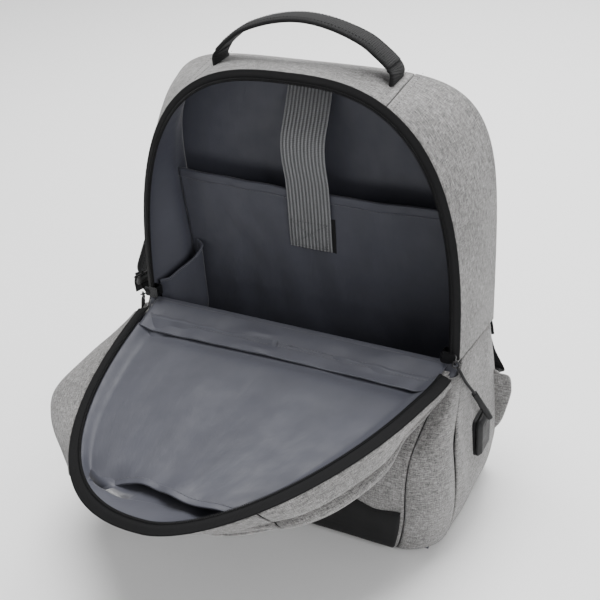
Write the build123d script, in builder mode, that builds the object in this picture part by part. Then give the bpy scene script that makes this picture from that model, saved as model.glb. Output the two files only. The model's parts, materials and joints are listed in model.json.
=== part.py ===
"""Backpack with a drop-down front lid, a laptop sleeve, a side USB port and a solar panel on the lid.

Frame: millimetres, +Z up, the front faces -Y, the wearer's back is at +Y.
The origin is the centre of the underside. The lid is modelled open, folded down about its hinge line.
"""

import os
from math import atan2, copysign, cos, pi, radians, sin, tan

from build123d import *

os.makedirs("parts", exist_ok=True)

# ---- driving dimensions ----
HALF_W = 155.0  # half width of the bag where the zip ends
HINGE_Y, HINGE_Z = -5.0, 169.0  # line between the two zip ends, about which the lid folds down
ARCH_H = 232.0  # height of the zip arch above the hinge line
ARCH_POWER = 2.8  # squareness of the zip arch
LEAN = radians(3.75)  # the zip plane leans back by this much
DROOP = radians(9.6)  # the open lid hangs this far below the horizontal

BACK_Y = 72.5  # outer face of the back panel
BACK_T = 8.0
BACK_HALF_W = 159.0
BACK_H = 221.0  # back outline above the hinge height
BACK_POWER = 4.6

WALL = 3.0  # padded fabric wall
SKIN = 0.8  # lining fabric
GAP = 0.2
TOP_SEAM_X = 88.0  # seams between the top panel and the side panels
FRONT_SEAM_X = 134.0  # seams of the lower front
CORNER_SEAM_Y = -38.0
BASE_T = 10.0

TAPE_W, TAPE_T = 7.6, 1.0
COIL_W, COIL_T = 2.0, 1.4
TAPE_INSET = WALL + SKIN + 3 * GAP

LID_DEPTH = 46.0  # depth of the lid at its deepest, and at its tip
LID_TIP_DEPTH = 14.0
LID_SLOPE = radians(26.0)  # the lid deepens from the hinge at this angle
LID_DEEPEST = LID_DEPTH / tan(LID_SLOPE)  # distance of the deepest line from the hinge line
FRONT_SLOPE = atan2(LID_DEPTH - LID_TIP_DEPTH, ARCH_H - LID_DEEPEST)
LID_START = 15.0

STRAP_W, STRAP_T = 42.0, 2.1  # elastic laptop strap
WEBBING = 25.0

# height, half width, front y, back y and front corner radius of the lower body
LOWER_SECTIONS = (
    (0.0, 151.0, -61.0, 66.0, 34.0),
    (BASE_T, 160.0, -70.0, BACK_Y, 36.0),
    (60.0, 167.0, -72.5, BACK_Y, 34.0),
    (118.0, 165.0, -64.0, BACK_Y, 28.0),
    (HINGE_Z, 158.0, HINGE_Y, BACK_Y, 6.0),
)
BACK_CORNER_R = 8.0

HINGE = (0, HINGE_Y, HINGE_Z)
ARCH_PLANE = Plane(origin=HINGE, x_dir=(1, 0, 0), z_dir=(0, -cos(LEAN), sin(LEAN)))
LID_PLANE = Plane(origin=HINGE, x_dir=(1, 0, 0), z_dir=(0, sin(DROOP), -cos(DROOP)))
BACK_PLANE = Plane(origin=(0, BACK_Y, HINGE_Z), x_dir=(1, 0, 0), z_dir=(0, -1, 0))


def save(builder, name):
    """Labels a finished piece and writes its STEP file."""
    builder.part.label = name
    export_step(builder.part, f"parts/{name}.step")


def arch_point(half_w, height, power, t):
    """Point of a superellipse arch, t running from 0 at the right foot to pi at the left foot."""
    c, s = cos(t), abs(sin(t))
    return (copysign(abs(c) ** (2 / power), c) * half_w, s ** (2 / power) * height)


def arch_face(half_w, height, power, foot=0.0):
    """Closed arch face. Its straight foot is at height foot, which may lie below the hinge line."""
    steps = 16
    points = [arch_point(half_w, height, power, pi * i / steps) for i in range(steps + 1)]
    below = min(foot, 0)
    with BuildSketch() as face:
        with BuildLine():
            Spline(*points, tangents=((0, 1), (0, -1)))
            if below:
                Polyline(points[-1], (-half_w, below), (half_w, below), points[0])
            else:
                Line(points[-1], points[0])
        make_face()
        if foot > 0:
            with Locations((0, foot / 2)):
                Rectangle(2 * half_w + 2, foot, mode=Mode.SUBTRACT)
    return face.sketch


def upper_body(inset, foot=0.0):
    """Solid between the zip arch and the back outline, drawn in by inset all round."""
    with BuildPart() as body:
        with BuildSketch(ARCH_PLANE):
            add(arch_face(HALF_W - inset, ARCH_H - inset, ARCH_POWER, foot))
        with BuildSketch(BACK_PLANE):
            add(arch_face(BACK_HALF_W - inset, BACK_H - inset, BACK_POWER, foot))
        loft()
    return body.part


def lower_body(inset):
    """Solid of the lower body from the underside to the hinge height, drawn in by inset."""
    with BuildPart() as body:
        for z, half_w, y_front, y_back, r in LOWER_SECTIONS:
            height = max(z, inset) if z < HINGE_Z else z
            y0, y1 = y_front + inset, y_back - inset
            with BuildSketch(Plane.XY.offset(height)):
                with Locations((0, (y0 + y1) / 2)):
                    Rectangle(2 * (half_w - inset), y1 - y0)
                fillet(vertices().group_by(Axis.Y)[0], max(r - inset, 2))
                fillet(vertices().group_by(Axis.Y)[-1], max(BACK_CORNER_R - inset, 2))
        loft(ruled=True)
    return body.part


UPPER_OUT, UPPER_IN = upper_body(0), upper_body(WALL)
LOWER_OUT, LOWER_IN = lower_body(0), lower_body(WALL)
LINING_OUT_UP, LINING_IN_UP = upper_body(WALL + GAP), upper_body(WALL + GAP + SKIN)
LINING_OUT_LOW, LINING_IN_LOW = lower_body(WALL + GAP), lower_body(WALL + GAP + SKIN)
CAVITY_UP, CAVITY_LOW = upper_body(TAPE_INSET, foot=-1.0), lower_body(TAPE_INSET)
WALL_END_Y = BACK_Y - BACK_T - 0.3
SPAN = 500.0  # longer than the bag


def box_between(low, high, mode=Mode.INTERSECT):
    """Box from corner low to corner high, combined with the current part."""
    centre = tuple((a + b) / 2 for a, b in zip(low, high))
    with Locations(centre):
        Box(*[b - a for a, b in zip(low, high)], mode=mode)


# ---- USB port on the right side ----
PORT_X, PORT_Y, PORT_Z = 166.8, 13.0, 89.0
PORT_W, PORT_H, PORT_BASE_T, COVER_BLOCK_T = 28.0, 38.0, 4.0, 5.6
PORT_PLANE = Plane(origin=(PORT_X, PORT_Y, PORT_Z), x_dir=(0, 1, 0), z_dir=(1, 0, 0))
SOCKET_W, SOCKET_H, SOCKET_DEPTH = 13.2, 5.8, 14.0
with BuildPart() as usb_base:
    with BuildSketch(PORT_PLANE):
        RectangleRounded(PORT_W, PORT_H, 5)
    extrude(amount=PORT_BASE_T)
    with BuildSketch(PORT_PLANE):
        Rectangle(SOCKET_W + 1.4, SOCKET_H + 1.4)
    extrude(amount=PORT_BASE_T, mode=Mode.SUBTRACT)
save(usb_base, "usb_base")

with BuildPart() as usb_socket:
    with BuildSketch(PORT_PLANE.offset(PORT_BASE_T - SOCKET_DEPTH)):
        Rectangle(SOCKET_W + 1.2, SOCKET_H + 1.2)
    extrude(amount=SOCKET_DEPTH)
    with BuildSketch(PORT_PLANE.offset(PORT_BASE_T - SOCKET_DEPTH + 1)):
        Rectangle(SOCKET_W, SOCKET_H)
    extrude(amount=SOCKET_DEPTH, mode=Mode.SUBTRACT)
save(usb_socket, "usb_socket")

with BuildPart() as usb_cover:
    with BuildSketch(PORT_PLANE.offset(PORT_BASE_T + 0.3)):
        RectangleRounded(PORT_W, PORT_H, 5)
    extrude(amount=COVER_BLOCK_T)
    chamfer(faces().sort_by(Axis.X)[-1].edges().sort_by(Axis.Z)[0], 3, 4)
save(usb_cover, "usb_cover")

with BuildPart() as socket_hole:
    with BuildSketch(PORT_PLANE.offset(-30)):
        Rectangle(SOCKET_W + 1.6, SOCKET_H + 1.6)
    extrude(amount=30)

# ---- walls of the upper body ----
with BuildPart() as top_panel:
    add(UPPER_OUT)
    add(UPPER_IN, mode=Mode.SUBTRACT)
    box_between((-TOP_SEAM_X, -SPAN, HINGE_Z + 60), (TOP_SEAM_X, WALL_END_Y, SPAN))
save(top_panel, "top_panel")

for side, name in ((1, "right"), (-1, "left")):
    x0, x1 = sorted((side * (TOP_SEAM_X + GAP), side * SPAN))
    with BuildPart() as upper_side:
        add(UPPER_OUT)
        add(UPPER_IN, mode=Mode.SUBTRACT)
        box_between((x0, -SPAN, 0), (x1, WALL_END_Y, SPAN))
    save(upper_side, f"upper_side_{name}")

# ---- walls of the lower body ----
with BuildPart() as base_panel:
    add(LOWER_OUT)
    add(LOWER_IN, mode=Mode.SUBTRACT)
    box_between((-SPAN, -SPAN, -1), (SPAN, WALL_END_Y, BASE_T))
save(base_panel, "base_panel")

with BuildPart() as lower_front_panel:
    add(LOWER_OUT)
    add(LOWER_IN, mode=Mode.SUBTRACT)
    box_between((-FRONT_SEAM_X, -SPAN, BASE_T + GAP), (FRONT_SEAM_X, HINGE_Y + 20, HINGE_Z))
save(lower_front_panel, "lower_front_panel")

for side, name in ((1, "right"), (-1, "left")):
    x0, x1 = sorted((side * (FRONT_SEAM_X + GAP), side * SPAN))
    with BuildPart() as corner_strip:
        add(LOWER_OUT)
        add(LOWER_IN, mode=Mode.SUBTRACT)
        box_between((x0, -SPAN, BASE_T + GAP), (x1, CORNER_SEAM_Y - GAP, HINGE_Z))
    save(corner_strip, f"corner_strip_{name}")

    with BuildPart() as lower_side:
        add(LOWER_OUT)
        add(LOWER_IN, mode=Mode.SUBTRACT)
        box_between((x0, CORNER_SEAM_Y, BASE_T + GAP), (x1, WALL_END_Y, HINGE_Z))
        if side > 0:
            add(socket_hole.part, mode=Mode.SUBTRACT)
    save(lower_side, f"lower_side_{name}")

PATCH_T, PATCH_TOP = 1.3, 44.0
with BuildPart() as front_patch:
    add(lower_body(-PATCH_T))
    add(LOWER_OUT, mode=Mode.SUBTRACT)
    box_between((1 - FRONT_SEAM_X, -SPAN, BASE_T + 2), (FRONT_SEAM_X - 1, CORNER_SEAM_Y, PATCH_TOP))
save(front_patch, "front_patch")

# ---- back panel, its pads and the shoulder yoke ----
BACK_FOOT = BASE_T - 5 - HINGE_Z  # bottom edge of the back panel, from the hinge height
with BuildPart() as back_panel:
    with BuildSketch(BACK_PLANE):
        with BuildLine():
            arch = [arch_point(BACK_HALF_W, BACK_H, BACK_POWER, pi * i / 16) for i in range(17)]
            Spline(*arch, tangents=((0, 1), (0, -1)))
            Polyline(
                arch[-1],
                (-163, 60 - HINGE_Z),
                (-157, BACK_FOOT),
                (157, BACK_FOOT),
                (163, 60 - HINGE_Z),
                arch[0],
            )
        make_face()
        fillet(vertices().group_by(Axis.Y)[0], 14)
    extrude(amount=BACK_T)
save(back_panel, "back_panel")

PAD_FACE_Y = BACK_Y + 0.2
PAD_T = 8.0
for side, name in ((1, "right"), (-1, "left")):
    with BuildPart() as back_pad:
        with BuildSketch(Plane.XZ.offset(-PAD_FACE_Y)):
            with Locations((side * 52, 225)):
                RectangleRounded(70, 170, 18)
        extrude(amount=-PAD_T)
        fillet(faces().sort_by(Axis.Y)[-1].edges(), 3)
    save(back_pad, f"back_pad_{name}")

with BuildPart() as lumbar_pad:
    with BuildSketch(Plane.XZ.offset(-PAD_FACE_Y)):
        with Locations((0, 85)):
            RectangleRounded(200, 70, 18)
    extrude(amount=-PAD_T)
    fillet(faces().sort_by(Axis.Y)[-1].edges(), 3)
save(lumbar_pad, "lumbar_pad")

with BuildPart() as shoulder_yoke:
    with BuildSketch(Plane.XZ.offset(-PAD_FACE_Y)):
        with Locations((0, 358)):
            RectangleRounded(190, 40, 8)
    extrude(amount=-2)
save(shoulder_yoke, "shoulder_yoke")

# ---- lining ----
LINING_END_Y = WALL_END_Y - 1.2
with BuildPart() as lining_upper:
    add(LINING_OUT_UP)
    add(LINING_IN_UP, mode=Mode.SUBTRACT)
    box_between((-SPAN, -SPAN, 0), (SPAN, LINING_END_Y, SPAN))
save(lining_upper, "lining_upper")

with BuildPart() as lining_lower:
    add(LINING_OUT_LOW)
    add(LINING_IN_LOW, mode=Mode.SUBTRACT)
    box_between((-SPAN, -SPAN, -1), (SPAN, LINING_END_Y, HINGE_Z))
    add(socket_hole.part, mode=Mode.SUBTRACT)
save(lining_lower, "lining_lower")

with BuildPart() as lining_back:
    add(CAVITY_UP)
    add(CAVITY_LOW)
    box_between((-SPAN, WALL_END_Y - SKIN, WALL + 1), (SPAN, WALL_END_Y, SPAN))
save(lining_back, "lining_back")

# ---- laptop sleeve and its retaining strap ----
SLEEVE_Y, SLEEVE_T, SLEEVE_TOP = 44.0, 2.2, 283.0
with BuildPart() as laptop_sleeve:
    add(CAVITY_UP)
    add(CAVITY_LOW)
    box_between((-SPAN, SLEEVE_Y, WALL + 1), (SPAN, SLEEVE_Y + SLEEVE_T, SLEEVE_TOP))
save(laptop_sleeve, "laptop_sleeve")

PATCH_Z = 241.0  # height of the hook and loop patches
with BuildPart() as sleeve_loop_patch:
    box_between((-23, SLEEVE_Y - 0.8, PATCH_Z - 17), (23, SLEEVE_Y, PATCH_Z + 17), mode=Mode.ADD)
save(sleeve_loop_patch, "sleeve_loop_patch")

with BuildPart() as strap_hook_patch:
    box_between((-19, SLEEVE_Y - 1.8, PATCH_Z - 13), (19, SLEEVE_Y - 1, PATCH_Z + 13), mode=Mode.ADD)
save(strap_hook_patch, "strap_hook_patch")

STRAP_PIVOT = (58.0, 377.0)  # y and z where the elastic is sewn under the top
STRAP_END_Y = SLEEVE_Y - 1.9 - STRAP_T / 2
STRAP_ROUTE = ((57.5, 372), (36, 332), (STRAP_END_Y, 290), (STRAP_END_Y, 226))
with BuildPart() as laptop_strap:
    with BuildSketch(Plane.YZ.offset(-STRAP_W / 2)):
        with BuildLine():
            Polyline(*STRAP_ROUTE)
        trace(line_width=STRAP_T)
    extrude(amount=STRAP_W)
save(laptop_strap, "laptop_strap")

# ---- small pocket on the left inner wall ----
POCKET_X, POCKET_D, POCKET_T = -149.0, 9.0, 1.2
with BuildPart() as inner_side_pocket:
    box_between((POCKET_X, 2, 60), (POCKET_X + POCKET_D, 42, 222), mode=Mode.ADD)
    box_between(
        (POCKET_X - 1, 2 + POCKET_T, 60 + POCKET_T),
        (POCKET_X + POCKET_D - POCKET_T, 42 - POCKET_T, SPAN),
        mode=Mode.SUBTRACT,
    )
    split(bisect_by=Plane(origin=(0, 22, 200), z_dir=(0, -0.61, 0.79)), keep=Keep.BOTTOM)
save(inner_side_pocket, "inner_side_pocket")


# ---- zip tapes and coils ----
def zip_band(plane, inset, width, height, thick, start):
    """Flat band that follows the zip arch, from start above the hinge line."""
    with BuildPart() as band:
        with BuildSketch(plane.offset(height)):
            add(arch_face(HALF_W - inset, ARCH_H - inset, ARCH_POWER, foot=start))
            inner = arch_face(HALF_W - inset - width, ARCH_H - inset - width, ARCH_POWER)
            add(inner, mode=Mode.SUBTRACT)
        extrude(amount=thick)
    return band


COIL_INSET = TAPE_INSET + TAPE_W - COIL_W
save(zip_band(ARCH_PLANE, TAPE_INSET, TAPE_W, -0.4 - TAPE_T, TAPE_T, 0.5), "body_zip_tape")
save(zip_band(ARCH_PLANE, COIL_INSET, COIL_W, -0.5 - TAPE_T - COIL_T, COIL_T, 0.5), "body_zip_coil")
save(zip_band(LID_PLANE, TAPE_INSET, TAPE_W, 0.4, TAPE_T, LID_START), "lid_zip_tape")
save(zip_band(LID_PLANE, COIL_INSET, COIL_W, 0.5 + TAPE_T, COIL_T, LID_START), "lid_zip_coil")


# ---- lid: a tray whose rim meets the zip arch ----
def lid_surface(angle):
    """Outer surface of the lid through its deepest line, turned by angle from the zip plane."""
    normal = LID_PLANE.z_dir * cos(angle) + LID_PLANE.y_dir * sin(angle)
    deepest = LID_PLANE.from_local_coords(Vector(0, LID_DEEPEST, LID_DEPTH))
    return Plane(origin=deepest, x_dir=(1, 0, 0), z_dir=normal)


LID_SHOULDER = lid_surface(-LID_SLOPE)  # from the hinge to the deepest line
LID_FRONT = lid_surface(FRONT_SLOPE)  # from the deepest line to the tip


def lid_block(inset, top=0.5):
    """Lid volume from top below the zip plane, drawn in by inset."""
    with BuildPart() as block:
        with BuildSketch(LID_PLANE.offset(top)):
            add(arch_face(HALF_W - inset, ARCH_H - inset, ARCH_POWER, foot=LID_START))
        extrude(amount=LID_DEPTH - top + 5)
        split(bisect_by=LID_SHOULDER.offset(-inset), keep=Keep.BOTTOM)
        split(bisect_by=LID_FRONT.offset(-inset), keep=Keep.BOTTOM)
    return block.part


LID_OUT, LID_IN = lid_block(0), lid_block(WALL, top=-5)
with BuildPart() as lid_core:
    with BuildSketch(LID_PLANE.offset(-5)):
        add(arch_face(HALF_W - WALL, ARCH_H - WALL, ARCH_POWER))
    extrude(amount=LID_DEPTH + 20)

with BuildPart() as lid_front_panel:
    add(LID_OUT)
    add(lid_core.part, mode=Mode.INTERSECT)
    add(LID_IN, mode=Mode.SUBTRACT)
save(lid_front_panel, "lid_front_panel")

GUSSET_SEAM = 165.0  # distance from the hinge line to the seams between the side and tip gussets
with BuildPart() as lid_gusset:
    add(LID_OUT)
    add(lid_core.part, mode=Mode.SUBTRACT)
TIP_CUT = Plane(origin=LID_PLANE.from_local_coords(Vector(0, GUSSET_SEAM, 0)), z_dir=LID_PLANE.y_dir)
with BuildPart() as lid_gusset_tip:
    add(lid_gusset.part)
    split(bisect_by=TIP_CUT.offset(GAP), keep=Keep.TOP)
save(lid_gusset_tip, "lid_gusset_tip")
for side, name in ((1, "right"), (-1, "left")):
    with BuildPart() as lid_gusset_side:
        add(lid_gusset.part)
        split(bisect_by=TIP_CUT, keep=Keep.BOTTOM)
        split(bisect_by=Plane(origin=(0, 0, 0), z_dir=(side, 0, 0)), keep=Keep.TOP)
    save(lid_gusset_side, f"lid_gusset_{name}")

with BuildPart() as lid_lining:
    add(lid_block(WALL + GAP))
    add(lid_block(WALL + GAP + SKIN, top=-5), mode=Mode.SUBTRACT)
save(lid_lining, "lid_lining")

POCKET_W, POCKET_FOOT, POCKET_HEM = 10.0, 36.0, 204.0
with BuildPart() as lid_pocket:
    with BuildSketch(LID_PLANE.offset(POCKET_W)):
        add(arch_face(HALF_W - TAPE_INSET, ARCH_H - TAPE_INSET, ARCH_POWER, foot=POCKET_FOOT))
        with Locations((0, POCKET_HEM + 50)):
            Rectangle(2 * HALF_W, 100, mode=Mode.SUBTRACT)
    extrude(amount=1.2)
save(lid_pocket, "lid_pocket")

# ---- solar panel on the lid's front ----
SOLAR_W, SOLAR_H = 130.0, 84.0
SOLAR_MID = 50.0  # from the lid's deepest line to the middle of the panel
SOLAR_BASE = GAP
BACKING_T, CELL_T, COVER_T, BORDER_T = 1.4, 0.5, 0.8, 3.2
with BuildPart() as solar_backing:
    with BuildSketch(LID_FRONT.offset(SOLAR_BASE)):
        with Locations((0, SOLAR_MID)):
            RectangleRounded(SOLAR_W, SOLAR_H, 8)
    extrude(amount=BACKING_T)
save(solar_backing, "solar_backing")

BORDER = 9.0
with BuildPart() as solar_border:
    with BuildSketch(LID_FRONT.offset(SOLAR_BASE + BACKING_T)):
        with Locations((0, SOLAR_MID)):
            RectangleRounded(SOLAR_W, SOLAR_H, 8)
            RectangleRounded(SOLAR_W - 2 * BORDER, SOLAR_H - 2 * BORDER, 3, mode=Mode.SUBTRACT)
    extrude(amount=BORDER_T - BACKING_T)
save(solar_border, "solar_border")

CELL_COLUMNS, CELL_ROWS, CELL_GAP = 4, 2, 1.5
CELL_W = (SOLAR_W - 2 * BORDER - 4 - (CELL_COLUMNS - 1) * CELL_GAP) / CELL_COLUMNS
CELL_H = (SOLAR_H - 2 * BORDER - 4 - (CELL_ROWS - 1) * CELL_GAP) / CELL_ROWS
with BuildPart() as solar_cells:
    with BuildSketch(LID_FRONT.offset(SOLAR_BASE + BACKING_T)):
        with Locations((0, SOLAR_MID)):
            with GridLocations(CELL_W + CELL_GAP, CELL_H + CELL_GAP, CELL_COLUMNS, CELL_ROWS):
                Rectangle(CELL_W, CELL_H)
    extrude(amount=CELL_T)
save(solar_cells, "solar_cells")

with BuildPart() as solar_cover:
    with BuildSketch(LID_FRONT.offset(SOLAR_BASE + BACKING_T + CELL_T)):
        with Locations((0, SOLAR_MID)):
            RectangleRounded(SOLAR_W - 2 * BORDER - 0.4, SOLAR_H - 2 * BORDER - 0.4, 2.8)
    extrude(amount=COVER_T)
save(solar_cover, "solar_cover")

with BuildPart() as solar_junction_box:
    with BuildSketch(LID_FRONT.offset(SOLAR_BASE + BORDER_T)):
        with Locations((0, SOLAR_MID - SOLAR_H / 2 + BORDER / 2)):
            RectangleRounded(34, BORDER - 1, 2)
    extrude(amount=4)
    fillet(faces().sort_by(Axis.Z)[0].edges(), 1.2)
save(solar_junction_box, "solar_junction_box")

# ---- zip sliders with their cord pulls ----
SLIDER_L, SLIDER_PLATE_T = 11.0, 1.2
SLIDER_MID = 7.0  # height of the slider's middle above the hinge line
COIL_REACH = 0.5 + TAPE_T + COIL_T  # from the zip plane to the back of a coil
CLEAR = 0.5
RING_R, RING_T = 3.4, 0.7
PULL_START = Vector(154.5, HINGE_Y - 7.5, HINGE_Z + 7)  # top of the right pull
PULL_END = Vector(181, 8, 111)
PULL_DIR = (PULL_END - PULL_START).normalized()
PULL_LENGTH = (PULL_END - PULL_START).length
TAB_L, TAB_W, TAB_T, CORD_D = 34.0, 6.5, 3.2, 2.2
PULL_AXIS = Vector(-PULL_DIR.Y, PULL_DIR.X, 0).normalized()
PULL_PLANE = Plane(origin=PULL_START, x_dir=PULL_AXIS, z_dir=PULL_DIR)
PIN = PULL_START + PULL_DIR * 1.6  # the slider's bail, on which the ring turns
PIN_R = 0.6


def mirrored(part, side):
    """The part itself on the right, or its mirror image on the left."""
    return part if side > 0 else mirror(part, about=Plane.YZ, mode=Mode.PRIVATE)


with BuildPart() as slider:
    reach = COIL_REACH + CLEAR
    inner = HALF_W - COIL_INSET - COIL_W - CLEAR
    with BuildSketch(ARCH_PLANE.offset(-reach - SLIDER_PLATE_T)):
        with Locations((inner + 3.4, SLIDER_MID)):
            RectangleRounded(9.6, SLIDER_L, 2.5)
    extrude(amount=2 * (reach + SLIDER_PLATE_T))
    with BuildSketch(ARCH_PLANE.offset(-reach)):
        with Locations((inner + 10, SLIDER_MID)):
            Rectangle(20, 2 * SLIDER_L)
    extrude(amount=2 * reach, mode=Mode.SUBTRACT)
    with BuildSketch(ARCH_PLANE.offset(reach)):
        with Locations((inner + 6, SLIDER_MID)):
            RectangleRounded(12.6, SLIDER_L - 2, 2)
    extrude(amount=SLIDER_PLATE_T)
    with BuildSketch(Plane(origin=PIN - PULL_AXIS * 3, z_dir=PULL_AXIS)):
        Circle(PIN_R)
    extrude(amount=7)
with BuildPart() as pull_ring:
    with BuildSketch(Plane(origin=PULL_START + PULL_DIR * RING_R, x_dir=PULL_DIR, z_dir=PULL_AXIS)):
        Circle(RING_R + RING_T)
        Circle(RING_R - RING_T, mode=Mode.SUBTRACT)
    extrude(amount=RING_T, both=True)
with BuildPart() as pull_cord:
    with BuildSketch(PULL_PLANE.offset(2 * RING_R + RING_T + 0.2)):
        Circle(CORD_D / 2)
    extrude(amount=PULL_LENGTH - TAB_L - 2 * RING_R - RING_T - 0.4)
with BuildPart() as pull_tab:
    with BuildSketch(PULL_PLANE.offset(PULL_LENGTH - TAB_L)):
        RectangleRounded(TAB_W, TAB_T, 1.2)
    extrude(amount=TAB_L)
    fillet(faces().sort_by(Axis.Z)[0].edges(), 1)

for side, name in ((1, "right"), (-1, "left")):
    for piece, kind in (
        (slider, "zip_slider"),
        (pull_ring, "pull_ring"),
        (pull_cord, "pull_cord"),
        (pull_tab, "pull_tab"),
    ):
        with BuildPart() as copy:
            add(mirrored(piece.part, side))
        save(copy, f"{kind}_{name}")

# ---- carry handle ----
HANDLE_Y, HANDLE_T = 52.0, 3.4
HANDLE_X, HANDLE_FOOT_Z, HANDLE_TOP_Z = 82.0, 404.5, 435.0
with BuildPart() as carry_handle:
    with BuildSketch(Plane.XZ.offset(-HANDLE_Y + WEBBING / 2)):
        with BuildLine():
            ThreePointArc((-HANDLE_X, HANDLE_FOOT_Z), (0, HANDLE_TOP_Z), (HANDLE_X, HANDLE_FOOT_Z))
        trace(line_width=HANDLE_T)
    extrude(amount=-WEBBING)
    with BuildSketch(Plane.YZ):
        with BuildLine():
            Polyline(
                (HANDLE_Y - 2, HANDLE_FOOT_Z - 3),
                (HANDLE_Y + 2, HANDLE_FOOT_Z - 3),
                (HANDLE_Y + WEBBING / 2 + 1, HANDLE_FOOT_Z + 9),
                (HANDLE_Y + WEBBING / 2 + 1, SPAN),
                (HANDLE_Y - WEBBING / 2 - 1, SPAN),
                (HANDLE_Y - WEBBING / 2 - 1, HANDLE_FOOT_Z + 9),
                close=True,
            )
        make_face()
    extrude(amount=SPAN, both=True, mode=Mode.INTERSECT)
save(carry_handle, "carry_handle")

ANCHOR_TOP = HANDLE_FOOT_Z - 4.5
for side, name in ((1, "right"), (-1, "left")):
    x0, x1 = sorted((side * (HANDLE_X - 2.5), side * (HANDLE_X + 2.5)))
    half = WEBBING / 2
    with BuildPart() as handle_anchor:
        box_between((x0, HANDLE_Y - half, 370), (x1, HANDLE_Y + half, ANCHOR_TOP), mode=Mode.ADD)
        add(UPPER_OUT, mode=Mode.SUBTRACT)
        box_between((x0, HANDLE_Y - half, 385), (x1, HANDLE_Y + half, ANCHOR_TOP))
    save(handle_anchor, f"handle_anchor_{name}")

# ---- shoulder straps: a pad, a ladder lock and webbing on each side ----
TOP_ANCHOR = Vector(55, 76.5, 372)
LOW_ANCHOR = Vector(172, 76.5, 112)
PAD_W, SHOULDER_T = 58.0, 11.0
# routes of each pad: distance down the line between its anchors, and distance off that line
LEFT_PAD = ((10, 8), (60, 28), (140, 52), (230, 70), (310, 72))
RIGHT_PAD = ((10, 8), (60, 18), (120, 26), (180, 28), (232, 25))
LEFT_TURN, RIGHT_TURN = radians(12), radians(88)  # turn of each loop from sideways to backwards

for side, name, route, turn in (
    (1, "right", RIGHT_PAD, RIGHT_TURN),
    (-1, "left", LEFT_PAD, LEFT_TURN),
):
    top = Vector(side * TOP_ANCHOR.X, TOP_ANCHOR.Y, TOP_ANCHOR.Z)
    low = Vector(side * LOW_ANCHOR.X, LOW_ANCHOR.Y, LOW_ANCHOR.Z)
    along = (low - top).normalized()
    outward = Vector(-side * along.Z, 0, side * along.X)
    off = outward * cos(turn) + Vector(0, sin(turn), 0)
    loop = Plane(origin=top, x_dir=along, z_dir=along.cross(off))
    back = -side  # the strap's width lies on the side of the loop that faces away from the bag
    end_s, end_d = route[-1]
    low_s = (low - top).length
    with BuildPart() as shoulder_pad:
        with BuildSketch(loop.offset(back * 2)):
            with BuildLine():
                Spline(*route)
            trace(line_width=SHOULDER_T)
        extrude(amount=back * PAD_W)
    save(shoulder_pad, f"shoulder_pad_{name}")

    with BuildPart() as ladder_lock:
        with BuildSketch(loop.offset(back * 2)):
            with Locations((end_s + 4.5, end_d - 1)):
                Rectangle(8, 6)
        extrude(amount=back * 34)
    save(ladder_lock, f"ladder_lock_{name}")

    with BuildPart() as strap_webbing:
        with BuildSketch(loop.offset(back * 6)):
            with BuildLine():
                Polyline(
                    (end_s + 10, end_d - 2),
                    (end_s + 13, end_d * 0.6),
                    (low_s + 7, 12),
                    (low_s - 2, 3),
                )
            trace(line_width=1.6)
        extrude(amount=back * WEBBING)
    save(strap_webbing, f"strap_webbing_{name}")

    with BuildPart() as anchor_tab:
        with BuildSketch(Plane.XZ.offset(-66)):
            with BuildLine():
                Polyline(
                    (side * 163.7, 45),
                    (side * 163.7, 117),
                    (side * 180, 115),
                    (side * 181.5, 92),
                    (side * 174, 62),
                    close=True,
                )
            make_face()
        extrude(amount=-4)
    save(anchor_tab, f"anchor_tab_{name}")
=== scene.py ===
# A grey laptop backpack that stands open, with its front lid folded down.
# Points are worked out in millimetres, in the frame's axes, and meshes are made in metres.
import json
from math import cos, pi, radians, sin, tan

import bmesh
import bpy
import numpy as np
from mathutils import Matrix, Vector, noise


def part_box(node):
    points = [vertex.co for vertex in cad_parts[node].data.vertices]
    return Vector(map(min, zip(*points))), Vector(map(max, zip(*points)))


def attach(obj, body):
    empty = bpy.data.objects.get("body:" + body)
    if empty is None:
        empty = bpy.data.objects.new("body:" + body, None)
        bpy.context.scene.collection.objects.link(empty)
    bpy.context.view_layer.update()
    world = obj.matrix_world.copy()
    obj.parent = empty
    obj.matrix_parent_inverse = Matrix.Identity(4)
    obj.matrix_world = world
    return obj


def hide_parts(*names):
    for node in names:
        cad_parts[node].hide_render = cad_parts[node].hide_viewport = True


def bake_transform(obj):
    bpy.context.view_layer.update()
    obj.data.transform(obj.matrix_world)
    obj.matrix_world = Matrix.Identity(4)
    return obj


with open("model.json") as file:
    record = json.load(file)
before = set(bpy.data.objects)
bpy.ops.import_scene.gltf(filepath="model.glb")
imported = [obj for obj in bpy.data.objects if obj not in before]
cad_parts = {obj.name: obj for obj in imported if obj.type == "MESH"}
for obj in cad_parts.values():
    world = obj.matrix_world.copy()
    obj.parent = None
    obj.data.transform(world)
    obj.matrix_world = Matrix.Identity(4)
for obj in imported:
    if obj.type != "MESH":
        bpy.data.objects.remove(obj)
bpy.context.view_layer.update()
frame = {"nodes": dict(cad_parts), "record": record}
MM = 0.001

# ---- driving dimensions, as in the CAD model ----
HINGE = np.array([0.0, -5.0, 169.0])
HALF_W, ARCH_H, ARCH_POWER = 155.0, 232.0, 2.8
LEAN, DROOP = radians(3.75), radians(9.6)
BACK_Y, BACK_HALF_W, BACK_H, BACK_POWER = 72.5, 162.0, 221.5, 5.4
WALL, TOP_SEAM_X = 3.0, 88.0
LID_DEPTH, LID_TIP_DEPTH, LID_SLOPE = 46.0, 14.0, radians(26.0)
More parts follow.
